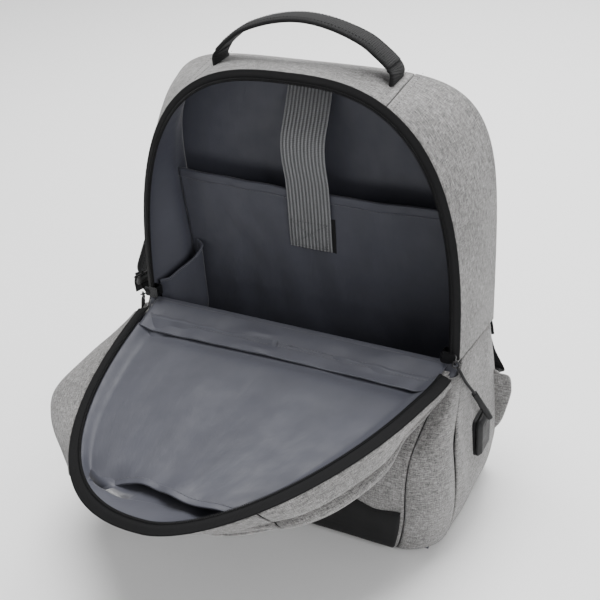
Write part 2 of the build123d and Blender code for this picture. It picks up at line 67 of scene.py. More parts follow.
# the open lid's rim is slacker than the zip arch, with another power on each side, and lies askew
RIM_HALF_W, RIM_H, RIM_RIGHT, RIM_LEFT = 156.0, 241.0, 1.75, 2.35
RIM_SHEAR, RIM_TWIST = -0.045, 0.10
TAPE_W, LID_TAPE_W, TAPE_SET = 8.0, 10.5, 3.0  # zip tapes: widths, and how far the outer edges lie back
LID_START, LID_END = 0.03, 0.97  # where the lid's cloth starts and ends along its rim
STITCH_LENGTH, STITCH_WIDTH = 2.1, 0.55
X_AXIS = np.array([1.0, 0.0, 0.0])
SIDES = ((1, "right"), (-1, "left"))


# ---- small maths ----
def vec(*values):
    return np.array(values, float)


def unit(v):
    return v / np.maximum(np.linalg.norm(v, axis=-1, keepdims=True), 1e-9)


def ease(t):
    t = np.clip(t, 0, 1)
    return t * t * (3 - 2 * t)


def hump(t, centre, width):
    """Bell of height 1 about centre."""
    return np.exp(-(((t - centre) / width) ** 2))


def rumple(points, size, seed=0.0):
    """Smooth noise from -1 to 1 over points; size is the length of a wave, one number or one per axis."""
    scaled = points.reshape(-1, 3) / np.asarray(size, float) + seed
    return np.array([noise.noise(Vector(p)) for p in scaled]).reshape(points.shape[:-1])


def coords(*parts):
    """Points from their coordinates, which may be numbers or arrays of matching shape."""
    return np.stack(np.broadcast_arrays(*parts), -1)


def squared(wave, exponent):
    """A sine or cosine with its rounded top flattened, or sharpened, by the exponent."""
    return np.sign(wave) * np.abs(wave) ** exponent


def dense_ends(n, length, first=0.5):
    """n places from 0 to 1, close together near both ends of a run of that length."""
    lead = np.array([0, first, 1.6 * first, 3 * first, 6 * first, 10 * first]) / length
    lead = lead[lead < 0.3]
    middle = np.linspace(lead[-1], 1 - lead[-1], max(n, 3))
    return np.concatenate([lead[:-1], middle, (1 - lead[:-1])[::-1]])


# ---- meshes ----
def normals(points, close_u=False, outward_from=None, flip=False):
    """Unit normals of a grid of points, turned away from the point outward_from."""
    if close_u:
        du = np.roll(points, -1, 0) - np.roll(points, 1, 0)
    else:
        du = np.gradient(points, axis=0)
    n = unit(np.cross(du, np.gradient(points, axis=1)))
    if outward_from is not None:
        flip = np.sum(n * (points - outward_from)) < 0
    return -n if flip else n


def run_lengths(points, close_u=False):
    """Length along each way of a grid, for cloth coordinates at real scale."""
    nu, nv = points.shape[:2]
    rows = np.concatenate([points, points[:1]]) if close_u else points
    u = np.concatenate([[0], np.cumsum(np.linalg.norm(np.diff(rows[:, nv // 2], axis=0), axis=1))])
    v = np.concatenate([[0], np.cumsum(np.linalg.norm(np.diff(points[nu // 2], axis=0), axis=1))])
    return np.stack(np.meshgrid(u, v, indexing="ij"), -1)


def quads(nu, nv, close_u=False, close_v=False):
    """Corner indices of a grid's quads, and each corner's column and row before wrapping."""
    i, j = np.meshgrid(
        np.arange(nu if close_u else nu - 1), np.arange(nv if close_v else nv - 1), indexing="ij"
    )
    corners = np.stack([coords(i + a, j + b) for a, b in ((0, 0), (1, 0), (1, 1), (0, 1))], -2)
    corners = corners.reshape(-1, 4, 2)
    return (corners[..., 0] % nu) * nv + corners[..., 1] % nv, corners


def piece(name, points, faces, uv, look, body=None, stands_for=()):
    """Object from points in mm, faces, and one cloth coordinate in mm for each face corner."""
    mesh = bpy.data.meshes.new(name)
    mesh.from_pydata((np.asarray(points, float) * MM).tolist(), [], faces)
    if uv is not None:
        layer = mesh.uv_layers.new(name="Cloth")
        layer.data.foreach_set("uv", (np.asarray(uv, float) * MM).ravel())
    bm = bmesh.new()
    bm.from_mesh(mesh)
    bmesh.ops.recalc_face_normals(bm, faces=bm.faces)
    bm.to_mesh(mesh)
    bm.free()
    mesh.shade_smooth()
    mesh.materials.append(LOOKS[look])
    obj = bpy.data.objects.new(name, mesh)
    bpy.context.scene.collection.objects.link(obj)
    if body:
        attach(obj, body)
    if stands_for:
        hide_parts(*stands_for)
    return obj


def slab(name, outer, thick, look, body=None, stands_for=(), close_u=False, uv=None, out=None, flip=False):
    """Closed sheet of cloth or foam: the grid outer is its face, and thick its thickness below that."""
    nu, nv = outer.shape[:2]
    depth = np.broadcast_to(np.asarray(thick, float), (nu, nv))[..., None]
    inner = outer - normals(outer, close_u, out, flip) * depth
    uv = run_lengths(outer, close_u) if uv is None else uv
    index, corners = quads(nu, nv, close_u)
    far = nu * nv
    faces, places = [index, index[:, ::-1] + far], [corners, corners[:, ::-1]]
    for row in (0, nv - 1):
        i = np.arange(nu if close_u else nu - 1)
        a, b = i * nv + row, ((i + 1) % nu) * nv + row
        faces.append(coords(a, b, b + far, a + far))
        p, q = coords(i, i * 0 + row), coords(i + 1, i * 0 + row)
        places.append(np.stack([p, q, q, p], 1))
    if not close_u:
        for column in (0, nu - 1):
            j = np.arange(nv - 1)
            a = column * nv + j
            faces.append(coords(a, a + 1, a + 1 + far, a + far))
            p, q = coords(j * 0 + column, j), coords(j * 0 + column, j + 1)
            places.append(np.stack([p, q, q, p], 1))
    places = np.concatenate(places)
    corner_uv = uv[places[..., 0], places[..., 1]].reshape(-1, 2)
    points = np.concatenate([outer.reshape(-1, 3), inner.reshape(-1, 3)])
    return piece(name, points, np.concatenate(faces).tolist(), corner_uv, look, body, stands_for)


def edge_distance(points):
    """Distance of each point of a grid from the nearest border, roughly, in mm."""
    uv = run_lengths(points)
    u, v = uv[..., 0], uv[..., 1]
    return np.minimum(np.minimum(u, u[-1:] - u), np.minimum(v, v[:, -1:] - v))


def panel(name, points, look, body, stands_for=(), thick=WALL, puff=0.0, edge=2.2, out=None, crease=0.6,
          size=45.0):
    """Padded cloth panel whose edges roll in to its seams and whose middle stands proud by puff."""
    n = normals(points, outward_from=out)
    distance = edge_distance(points)
    roll = edge - np.sqrt(np.maximum(edge**2 - np.maximum(edge - distance, 0) ** 2, 0))
    lift = puff * ease(distance / 30) - roll + crease * rumple(points, size, 3.7) * ease(distance / 12)
    face = points + n * lift[..., None]
    return slab(name, face, np.maximum(thick - roll, 0.6), look, body, stands_for, out=out)


def sweep(name, path, section, side, look, body, stands_for=(), closed=False):
    """Closed form along path. section is a loop of (side, up) points, one loop or one per station."""
    path = np.asarray(path, float)
    count = len(path)
    if closed:
        tangent = unit(np.roll(path, -1, 0) - np.roll(path, 1, 0))
    else:
        tangent = unit(np.gradient(path, axis=0))
    side = np.broadcast_to(np.asarray(side, float), path.shape)
    side = unit(side - tangent * np.sum(side * tangent, 1, keepdims=True))
    up = np.cross(tangent, side)
    section = np.asarray(section, float)
    if section.ndim == 2:
        section = np.broadcast_to(section, (count, *section.shape))
    grid = path[:, None] + side[:, None] * section[..., :1] + up[:, None] * section[..., 1:]
    m = grid.shape[1]
    index, corners = quads(count, m, closed, True)
    rows = np.concatenate([path, path[:1]]) if closed else path
    along = np.concatenate([[0], np.cumsum(np.linalg.norm(np.diff(rows, axis=0), axis=1))])
    ring = np.concatenate([grid[count // 2], grid[count // 2, :1]])
    around = np.concatenate([[0], np.cumsum(np.linalg.norm(np.diff(ring, axis=0), axis=1))])
    uv = coords(along[corners[..., 0]], around[corners[..., 1]]).reshape(-1, 2).tolist()
    faces = index.tolist()
    if not closed:
        for ring_start in (0, (count - 1) * m):
            faces.append(list(range(ring_start, ring_start + m)))
            uv += [[0.0, float(a)] for a in around[:m]]
    return piece(name, grid.reshape(-1, 3), faces, uv, look, body, stands_for)


def ring(radius, count=10, flat=1.0):
    """Round or flattened section."""
    a = np.linspace(0, 2 * pi, count, endpoint=False)
    return coords(radius * np.cos(a), radius * flat * np.sin(a))


def strap_section(width, thick, power=5.0, count=28):
    """Section of flat webbing with rounded edges."""
    a = np.linspace(0, 2 * pi, count, endpoint=False)
    c, s = np.cos(a), np.sin(a)
    return coords(squared(c, 2 / power) * width / 2, squared(s, 1 / 1.6) * thick / 2)


def spline(points, count):
    """Evenly spaced points of a smooth curve through points."""
    p = np.asarray(points, float)
    p = np.concatenate([[2 * p[0] - p[1]], p, [2 * p[-1] - p[-2]]])
    t = np.linspace(0, 1, 24, endpoint=False)[:, None]
    parts = []
    for a, b, c, d in zip(p, p[1:], p[2:], p[3:]):
        square, cube = 2 * a - 5 * b + 4 * c - d, 3 * b - a - 3 * c + d
        parts.append(0.5 * (2 * b + (c - a) * t + square * t**2 + cube * t**3))
    line = np.concatenate(parts + [p[-2:-1]])
    return resample(line, count)


def resample(line, count):
    """The same line with count points at equal steps."""
    s = np.concatenate([[0], np.cumsum(np.linalg.norm(np.diff(line, axis=0), axis=1))])
    steps = np.linspace(0, s[-1], count)
    return np.stack([np.interp(steps, s, line[:, k]) for k in range(line.shape[1])], -1)


def stitches(name, line, up, look, body, pitch=3.2, width=STITCH_WIDTH, height=0.35):
    """Row of thread stitches along line, each a small spindle that lies on the cloth."""
    line = np.asarray(line, float)
    total = np.sum(np.linalg.norm(np.diff(line, axis=0), axis=1))
    centres = resample(line, max(int(total / pitch), 2))
    tangent = unit(np.gradient(centres, axis=0))
    up = np.broadcast_to(np.asarray(up, float), centres.shape)
    side = unit(np.cross(up, tangent))
    up = np.cross(tangent, side)
    corners = []
    for along, across, high in ((-1, 0, 0), (0, 1, 0), (0, 0, 1), (0, -1, 0), (0, 0, -1), (1, 0, 0)):
        across_by, up_by = side * across * width / 2, up * high * height
        corners.append(centres + tangent * along * STITCH_LENGTH / 2 + across_by + up_by)
    points = np.stack(corners, 1)
    shape = ((0, 1, 2), (0, 2, 3), (0, 3, 4), (0, 4, 1), (5, 2, 1), (5, 3, 2), (5, 4, 3), (5, 1, 4))
    faces = [[6 * k + c for c in face] for k in range(len(points)) for face in shape]
    return piece(name, points.reshape(-1, 3), faces, None, look, body)


def block(name, origin, x_dir, y_dir, outline, profile, look, body, stands_for=()):
    """Moulded piece: the outline at each (inset, height) of profile, closed at both ends."""
    origin, x_dir, y_dir = (np.asarray(v, float) for v in (origin, x_dir, y_dir))
    z_dir = unit(np.cross(x_dir, y_dir))
    rings = []
    for inset, height in profile:
        flat = outline(inset)
        rings.append(origin + flat[:, :1] * x_dir + flat[:, 1:] * y_dir + z_dir * height)
    rings = np.stack(rings)
    count, m = rings.shape[:2]
    index = quads(count, m, False, True)[0]
    faces = index.tolist() + [list(range(m)), list(range((count - 1) * m, count * m))]
    return piece(name, rings.reshape(-1, 3), faces, None, look, body, stands_for)


def round_box(width, height, radius):
    """Outline of a rounded rectangle, as a function of how far it is drawn in."""
    def outline(inset):
        w, h, r = width / 2 - inset, height / 2 - inset, max(radius - inset, 0.3)
        out = []
        for k, (sx, sy) in enumerate(((1, 1), (-1, 1), (-1, -1), (1, -1))):
            for a in np.linspace(k * pi / 2, (k + 1) * pi / 2, 6):
                out.append((sx * (w - r) + r * cos(a), sy * (h - r) + r * sin(a)))
        return np.array(out)
    return outline


# ---- materials ----
class Look:
    """A Principled material with short ways to add and link nodes."""

    def __init__(self, name, color, roughness, **sockets):
        self.material = bpy.data.materials.new(name)
        self.material.use_nodes = True
        self.tree = self.material.node_tree
        self.shader = self.tree.nodes["Principled BSDF"]
        self.shader.inputs["Base Color"].default_value = (*color, 1)
        self.shader.inputs["Roughness"].default_value = roughness
        for socket, value in sockets.items():
            self.shader.inputs[socket.replace("_", " ")].default_value = value

    def node(self, kind, settings=(), **inputs):
        made = self.tree.nodes.new("ShaderNode" + kind)
        for key, value in dict(settings).items():
            setattr(made, key, value)
        for key, value in inputs.items():
            socket = made.inputs[int(key[1:])] if key[0] == "_" else made.inputs[key]
            if isinstance(value, bpy.types.NodeSocket):
                self.tree.links.new(value, socket)
            else:
                socket.default_value = value
        return made

    def math(self, operation, a, b=0.0, clamp=False):
        settings = {"operation": operation, "use_clamp": clamp}
        return self.node("Math", settings, _0=a, _1=b).outputs[0]

    def cloth(self):
        """Cloth coordinates in millimetres."""
        uv = self.node("UVMap", {"uv_map": "Cloth"}).outputs[0]
        return self.scale(uv, (1000, 1000, 1000))

    def place(self):
        """Coordinates in the object's frame, in millimetres."""
        return self.scale(self.node("TexCoord").outputs["Object"], (1000, 1000, 1000))

    def scale(self, vector, factors):
        return self.node("VectorMath", {"operation": "MULTIPLY"}, _0=vector, _1=factors).outputs[0]

    def noise(self, vector, scale=1.0, detail=2.0, rough=0.5):
        made = self.node("TexNoise", Vector=vector, Scale=scale, Detail=detail, Roughness=rough)
        return made.outputs["Fac"]

    def ramp(self, factor, *stops):
        made = self.node("ValToRGB", Fac=factor)
        ramp = made.color_ramp
        while len(ramp.elements) < len(stops):
            ramp.elements.new(0.5)
        for element, (place, color) in zip(ramp.elements, stops):
            element.position = place
            element.color = (*color, 1) if len(color) == 3 else (color[0],) * 3 + (1,)
        return made.outputs["Color"]

    def ribs(self, vector, axis, pitch):
        """Threads 0 to 1 to 0 across axis 0 or 1 of the cloth, one each pitch."""
        part = self.node("SeparateXYZ", _0=vector).outputs[axis]
        wave = self.math("SINE", self.math("MULTIPLY", part, 2 * pi / pitch))
        return self.math("MULTIPLY_ADD", wave, 0.5)

    def color(self, socket):
        self.tree.links.new(socket, self.shader.inputs["Base Color"])

    def rough(self, socket):
        self.tree.links.new(socket, self.shader.inputs["Roughness"])

    def bump(self, height, distance, strength=1.0):
        made = self.node("Bump", Height=height, Distance=distance * MM, Strength=strength)
        self.tree.links.new(made.outputs[0], self.shader.inputs["Normal"])


def tint(color, factor):
    return tuple(c * factor for c in color)


def weave(look, vector, pitch, depth):
    """Over and under threads of a plain weave."""
    warp, weft = look.ribs(vector, 0, pitch), look.ribs(vector, 1, pitch)
    check = look.math("MULTIPLY", look.math("SUBTRACT", warp, 0.5), look.math("SUBTRACT", weft, 0.5))
    height = look.math("MULTIPLY_ADD", check, 2.0)
    look.bump(height, depth)
    return height


def heather(name, color):
    """Melange cloth: light and dark slubs run both ways over a mid grey ground."""
    look = Look(name, color, 0.92, Sheen_Weight=0.25, Sheen_Roughness=0.5)
    cloth = look.cloth()
    long_slub = look.noise(look.scale(cloth, (0.16, 0.85, 1)), 1, 3, 0.65)
    cross_slub = look.noise(look.scale(cloth, (0.9, 0.2, 1)), 1, 3, 0.65)
    fleck = look.noise(look.scale(cloth, (0.75, 0.75, 1)), 1.6, 2, 0.6)
    patchy = look.noise(look.scale(cloth, (0.02, 0.02, 1)), 1, 2)
    mix = look.math("ADD", look.math("MULTIPLY", long_slub, 0.42), look.math("MULTIPLY", cross_slub, 0.3))
    mix = look.math("ADD", mix, look.math("MULTIPLY", fleck, 0.28))
    mix = look.math("ADD", mix, look.math("MULTIPLY", look.math("SUBTRACT", patchy, 0.5), 0.12))
    look.color(look.ramp(
        mix, (0.37, tint(color, 0.16)), (0.44, tint(color, 0.55)), (0.50, color),
        (0.56, tint(color, 1.5)), (0.64, tint(color, 2.3)),
    ))
    threads = look.math("ADD", look.ribs(cloth, 0, 0.9), look.ribs(cloth, 1, 0.9))
    look.bump(look.math("ADD", threads, look.math("MULTIPLY", mix, 3.0)), 0.16)
    return look.material


def plain_cloth(name, color, pitch=0.8, depth=0.1):
    """Woven cloth of one colour, with soft variation and a visible thread."""
    look = Look(name, color, 0.85, Sheen_Weight=0.06, Sheen_Roughness=0.5, Specular_IOR_Level=0.2)
    cloth = look.place()
    cloud = look.noise(look.scale(cloth, (0.05, 0.05, 0.05)), 1, 3)
    fine = look.noise(look.scale(cloth, (0.9, 0.9, 0.9)), 1, 2)
    mix = look.math("ADD", look.math("MULTIPLY", cloud, 0.6), look.math("MULTIPLY", fine, 0.4))
    look.color(look.ramp(mix, (0.3, tint(color, 0.75)), (0.7, tint(color, 1.25))))
    weave(look, cloth, pitch, depth)
    return look.material


def ribbed(name, color, axis, pitch, depth, sheen=0.05, shade_and_fuzz=0.5):
    """Webbing, tape or elastic with ribs across it. Its colour is partly painted highlight and shade, lighter
    on the rib crests and darker in the hollows between them, and partly random fuzz.
    """
    look = Look(name, color, 0.8, Sheen_Weight=sheen, Specular_IOR_Level=0.2)
    cloth = look.cloth()
    rib = look.ribs(cloth, axis, pitch)
    thread = look.ribs(cloth, 1 - axis, pitch * 0.45)
    height = look.math("ADD", rib, look.math("MULTIPLY", thread, 0.35))
    fuzz = look.noise(look.scale(cloth, (0.8, 0.8, 0.8)), 1.3, 2)
    # colour: rib crests painted lighter and hollows painted darker, as painted highlight and shade, mixed
    # with random fuzz of the yarn
    mix = look.math("ADD", look.math("MULTIPLY", rib, 0.5), look.math("MULTIPLY", fuzz, 0.5))
    look.color(look.ramp(mix, (0.2, tint(color, 1 - shade_and_fuzz)), (0.8, tint(color, 1 + shade_and_fuzz))))
    look.bump(height, depth)
    return look.material


def satin(name, color):
    """Shiny lining with fine diagonal threads and pressed wrinkles."""
    look = Look(name, color, 0.5, Sheen_Weight=0.3, Sheen_Roughness=0.35, Specular_IOR_Level=0.6)
    cloth = look.cloth()
    cloud = look.noise(look.scale(cloth, (0.03, 0.012, 1)), 1, 3)
    look.color(look.ramp(cloud, (0.3, tint(color, 0.93)), (0.7, tint(color, 1.06))))
    worn = look.noise(look.scale(cloth, (0.06, 0.06, 1)), 1, 2)
    look.rough(look.ramp(worn, (0.3, (0.56,)), (0.7, (0.68,))))
    crinkle = look.noise(look.scale(cloth, (0.09, 0.03, 1)), 1, 3, 0.55)
    threads = look.ribs(cloth, 0, 0.6)
    look.bump(look.math("ADD", crinkle, look.math("MULTIPLY", threads, 0.05)), 0.7, 0.6)
    return look.material


def spacer_mesh(name, color):
    """Air mesh: small holes, 2.4 mm apart, in a soft knitted ground, with painted shade darkening the holes.
    """
    look = Look(name, color, 0.9, Sheen_Weight=0.08, Specular_IOR_Level=0.2)
    place = look.place()
    cells = look.node("TexVoronoi", {"feature": "F1"}, Vector=place, Scale=1 / 2.4, Randomness=0.25)
    # painted shade: the colour is darkened towards each hole's middle, where the recess is shaded, and
    # lighter on the knitted ground
    hole_shade_colour = look.ramp(cells.outputs["Distance"], (0.25, tint(color, 0.25)), (0.5, tint(color, 1.5)))
    look.color(hole_shade_colour)
    look.bump(cells.outputs["Distance"], 0.6, 0.9)
    return look.material


def moulded(name, color, roughness, grain=0.05, metallic=0.0):
    """Moulded rubber or plastic, or lacquered metal, with a fine grain."""
    shine = 0.5 if metallic else 0.22
    look = Look(name, color, roughness, Metallic=metallic, Specular_IOR_Level=shine)
    place = look.place()
    speck = look.noise(place, 2.2, 3)
    smear = look.noise(place, 0.12, 3)
    look.color(look.ramp(smear, (0.3, tint(color, 0.8)), (0.7, tint(color, 1.3))))
    low, high = max(roughness - 0.1, 0.05), min(roughness + 0.12, 1)
    look.rough(look.ramp(smear, (0.25, (low,)), (0.75, (high,))))
    look.bump(speck, grain)
    return look.material


def cells_look(name):
    """Silicon cells: fine fingers across, three busbars along, and a slight cloudiness."""
    look = Look(name, (0.010, 0.014, 0.05), 0.25, Coat_Weight=0.5)
    place = look.place()
    finger = look.math("GREATER_THAN", look.ribs(place, 1, 1.6), 0.93)
    bar = look.math("GREATER_THAN", look.ribs(place, 0, 11.5), 0.975)
    lines = look.math("MAXIMUM", look.math("MULTIPLY", finger, 0.35), bar)
    cloud = look.noise(look.scale(place, (0.08, 0.08, 0.08)), 1, 3)
    tone = look.math("ADD", look.math("MULTIPLY", cloud, 0.25), lines, clamp=True)
    dark, blue, silver = (0.006, 0.009, 0.03), (0.014, 0.02, 0.07), (0.45, 0.46, 0.48)
    look.color(look.ramp(tone, (0.0, dark), (0.2, blue), (1.0, silver)))
    return look.material


def cover_look(name):
    """Clear film over the cells, lightly dimpled."""
    look = Look(name, (1, 1, 1), 0.12, Transmission_Weight=0.0, Alpha=0.12, Specular_IOR_Level=0.6)
    look.bump(look.noise(look.place(), 1.2, 1), 0.05)
    look.material.surface_render_method = "BLENDED"
    return look.material


GREY = (0.186, 0.182, 0.179)
LOOKS = {
    "grey_fabric": heather("heather_grey", GREY),
    "black_fabric": plain_cloth("black_polyester", (0.010, 0.010, 0.0105)),
    "black_webbing": ribbed("black_webbing", (0.009, 0.009, 0.0095), 0, 1.7, 0.25),
    "padded_mesh": spacer_mesh("spacer_mesh", (0.016, 0.016, 0.017)),
    "lining": satin("satin_lining", (0.039, 0.041, 0.056)),
    "zip_tape": ribbed("zip_tape", (0.005, 0.005, 0.0055), 0, 1.0, 0.1, sheen=0.0),
    "zip_coil": moulded("zip_coil", (0.004, 0.004, 0.0045), 0.6),
    "zip_metal": moulded("zip_lacquer", (0.02, 0.02, 0.021), 0.3, 0.01, metallic=0.7),
    "black_cord": plain_cloth("braided_cord", (0.018, 0.018, 0.019), pitch=1.2, depth=0.25),
    "black_rubber": moulded("black_rubber", (0.008, 0.008, 0.0085), 0.55, 0.08),
    "usb_shell": moulded("nickel", (0.55, 0.55, 0.57), 0.28, 0.01, metallic=1.0),
    "elastic": ribbed("ribbed_elastic", (0.150, 0.153, 0.158), 1, 3.4, 0.7, shade_and_fuzz=0.55),
    "black_plastic": moulded("acetal", (0.02, 0.02, 0.02), 0.42, 0.03),
    "solar_backing": moulded("laminate", (0.018, 0.018, 0.02), 0.5, 0.03),
    "solar_cell": cells_look("silicon"),
    "solar_cover": cover_look("clear_film"),
}


# ---- the bag's own surfaces ----
class Arch:
    """Superellipse arch from the right foot (0) over the top to the left foot (1), by length."""

    def __init__(self, half_w, height, power, left_power=None):
        t = (1 - np.cos(np.linspace(0, pi, 6001))) / 2 * pi
        c, s = np.cos(t), np.abs(np.sin(t))
        power = np.where(t < pi / 2, power, left_power or power)
        self.x = squared(c, 2 / power) * half_w
        self.h = s ** (2 / power) * height
        self.h[[0, -1]] = 0
        length = np.concatenate([[0], np.cumsum(np.hypot(np.diff(self.x), np.diff(self.h)))])
        self.total = length[-1]
        self.f = length / length[-1]

    def at(self, f, inset=0.0):
        """x and h at f, moved inward by inset."""
        f = np.asarray(f, float)
        x, h = np.interp(f, self.f, self.x), np.interp(f, self.f, self.h)
        nx, nh = self.outward(f)
        return x - nx * inset, h - nh * inset

    def outward(self, f):
        step = 0.004
        low, high = np.clip(f - step, 0, 1), np.clip(f + step, 0, 1)
        dx = np.interp(high, self.f, self.x) - np.interp(low, self.f, self.x)
        dh = np.interp(high, self.f, self.h) - np.interp(low, self.f, self.h)
        size = np.hypot(dx, dh)
        return dh / size, -dx / size

    def where(self, x):
        """f of the first point, from the right foot, with that x."""
        half = len(self.x) // 2
        return float(np.interp(-x, -self.x[: half + 1], self.f[: half + 1]))


ZIP = Arch(HALF_W, ARCH_H, ARCH_POWER)
BACK = Arch(BACK_HALF_W, BACK_H, BACK_POWER)
RIM = Arch(RIM_HALF_W, RIM_H, RIM_RIGHT, RIM_LEFT)
BODY_UP, BODY_OUT = vec(0, sin(LEAN), cos(LEAN)), vec(0, -cos(LEAN), sin(LEAN))
LID_AWAY, LID_UNDER = vec(0, -cos(DROOP), -sin(DROOP)), vec(0, sin(DROOP), -cos(DROOP))
# points that faces are turned away from or toward
BODY_MIDDLE, LOWER_MIDDLE, BEHIND = vec(0, 35, 230), vec(0, 0, 80), vec(0, 300, 200)
# height and y of the lower front, from the base up to the hinge
FRONT_PROFILE = spline([(0, -69), (25, -71.5), (60, -72.5), (95, -70.5), (112, -66.5), (122, -59),
                        (135, -44.5), (152, -25), (169, -5)], 80)


def in_zip_plane(x, h, out=0.0):
    """Point x across, h up the zip plane and out towards the front."""
    x, h, out = (np.asarray(a, float)[..., None] for a in (x, h, out))
    return HINGE + X_AXIS * x + BODY_UP * h + BODY_OUT * out


def in_lid(x, v, w=0.0, slack=1.0):
    """Point x across, v away from the hinge and w under the lid's rim. The slack rim lies askew."""
    x, v, w, slack = (np.asarray(a, float)[..., None] for a in (x, v, w, slack))
    askew = ease(v / 60) * slack
    flat = HINGE + X_AXIS * (x + RIM_SHEAR * v * askew) + LID_AWAY * v + LID_UNDER * w
    return flat + vec(0, 0, 1) * (RIM_TWIST * x * v / ARCH_H) * askew


LID_ABOVE = in_lid(0, 110, -60, 0)


def upper(f, s, inset=0.0):
    """Upper body between the zip arch (s 0) and the back outline (s 1)."""
    front = in_zip_plane(*ZIP.at(f, inset))
    x, h = BACK.at(f, inset)
    back = coords(x, BACK_Y, HINGE[2] + h)
    return front + (back - front) * np.asarray(s, float)[..., None]


def lower_section(z):
    """Half width, front y and corner radius of the lower body at height z."""
    z = np.asarray(z, float)
    rise = np.clip((z - 60) / 109, 0, 1)
    half_w = np.where(z > 60, 158 + 9 * np.cos(pi / 2 * rise), 167 - 7 * ((60 - z) / 50) ** 2)
    front = np.interp(z, FRONT_PROFILE[:, 0], FRONT_PROFILE[:, 1])
    radius = 6 + 28 * (1 - rise**2)
    foot = 9 * (1 - np.sqrt(1 - np.clip((9 - z) / 9, 0, 1) ** 2))
    return half_w - foot, front + foot, radius


def lower(side, u, z, inset=0.0):
    """Lower body: u 0 to 1 along the side, 1 to 2 round the front corner, 2 to 3 to the middle."""
    half_w, front, radius = lower_section(z)
    half_w, front, radius = half_w - inset, front + inset, np.maximum(radius - inset, 2)
    back = BACK_Y - inset
    turn = np.clip(u - 1, 0, 1) * pi / 2
    x = half_w - radius + radius * np.cos(turn)
    y = front + radius - radius * np.sin(turn)
    y = np.where(u < 1, back + (front + radius - back) * u, y)
    x = np.where(u > 2, (half_w - radius) * (3 - u), x)
    return coords(side * x, y, z)


def lid_depth(v):
    """Depth of the lid's outside below its rim at distance v from the hinge."""
    deepest = LID_DEPTH / tan(LID_SLOPE)
    rising = v * tan(LID_SLOPE)
    falling = LID_DEPTH - (v - deepest) * (LID_DEPTH - LID_TIP_DEPTH) / (ARCH_H - deepest)
    blend = 2.5
    return -blend * np.log(np.exp(-rising / blend) + np.exp(-falling / blend)) - 0.3


def mesh_grid(us, vs):
    return np.meshgrid(us, vs, indexing="ij")


# ---- outer cloth of the upper body ----
def build_upper_body():
    seam_front, seam_back = ZIP.where(TOP_SEAM_X), BACK.where(TOP_SEAM_X)
    s = 0.035 + 0.962 * dense_ends(16, 75)
    for side, name in SIDES:
        a, ss = mesh_grid(dense_ends(60, 300), s)
        f = a * (seam_front + (seam_back - seam_front) * ss)
        f = f if side > 0 else 1 - f
        panel(f"upper_side_cloth_{name}", upper(f, ss), "grey_fabric", "root",
              [f"upper_side_{name}"], puff=2.2, out=BODY_MIDDLE, crease=1.6, size=(90, 60, 70))
    a, ss = mesh_grid(dense_ends(36, 190), s)
    start = seam_front + (seam_back - seam_front) * ss
    f = start + a * (1 - 2 * start)
    panel("top_cloth", upper(f, ss), "grey_fabric", "root", ["top_panel"], puff=2.5, out=BODY_MIDDLE,
          crease=1.2, size=(60, 40, 60))
    for side, name in SIDES:
        for k, shift in enumerate((-0.009, 0.009)):
            f = seam_front + (seam_back - seam_front) * s + shift
            line = upper(f if side > 0 else 1 - f, s)
            up = unit(line - BODY_MIDDLE)
            stitches(f"top_seam_thread_{name}_{k}", line[3:-3] + up[3:-3] * 1.4, up[0], "black_webbing",
                     "root", pitch=3.4, height=0.3)


# ---- outer cloth of the lower body ----
def side_swell(side, points):
    """Soft bulges and folds of the lower side."""
    y, z = points[..., 1], points[..., 2]
    keep_port = 1 - 0.9 * (side > 0) * hump(y, 13, 24) * hump(z, 89, 28)
    ridge = hump(y - 0.12 * (120 - z), -34, 9) * ease((150 - z) / 40) * ease((z - 15) / 30)
    fold = hump(z - 0.5 * (y + 5), 158, 7) * ease((70 - y) / 60)
    return keep_port * (3.5 * hump(y, 20, 45) * hump(z, 70, 60) + 3.0 * ridge - 2.0 * fold)


def build_lower_body():
    z = 1.0 + 167.6 * dense_ends(56, 168)
    for side, name in SIDES:
        u, zz = mesh_grid(0.997 * dense_ends(36, 110), z)
        points = lower(side, u, zz)
        n = normals(points, outward_from=LOWER_MIDDLE)
        points = points + n * side_swell(side, points)[..., None]
        panel(f"lower_side_cloth_{name}", points, "grey_fabric", "root", [f"lower_side_{name}"],
              puff=1.0, out=LOWER_MIDDLE, crease=1.8, size=(60, 40, 60), thick=2.4)
        u, zz = mesh_grid(1.003 + 0.994 * dense_ends(12, 50), 1.0 + 160 * dense_ends(50, 160))
        panel(f"corner_cloth_{name}", lower(side, u, zz), "grey_fabric", "root", [f"corner_strip_{name}"],
              puff=1.5, out=LOWER_MIDDLE, crease=1.2, size=(40, 40, 50), thick=2.4)
    a, zz = mesh_grid(dense_ends(60, 270), 1.0 + 163.5 * dense_ends(56, 164))
    u = 2.003 + 0.997 * (1 - np.abs(2 * a - 1))
    side = np.where(a < 0.5, 1.0, -1.0)
    points = lower(side, u, zz)
    slump = 2.0 * hump(zz, 120, 25) * rumple(points, (50, 500, 60), 1.3)
    points = points + vec(0, -1, 0) * slump[..., None]
    panel("lower_front_cloth", points, "grey_fabric", "root", ["lower_front_panel"], puff=2.0,
          out=LOWER_MIDDLE, crease=1.6, size=(70, 60, 45), thick=2.4)


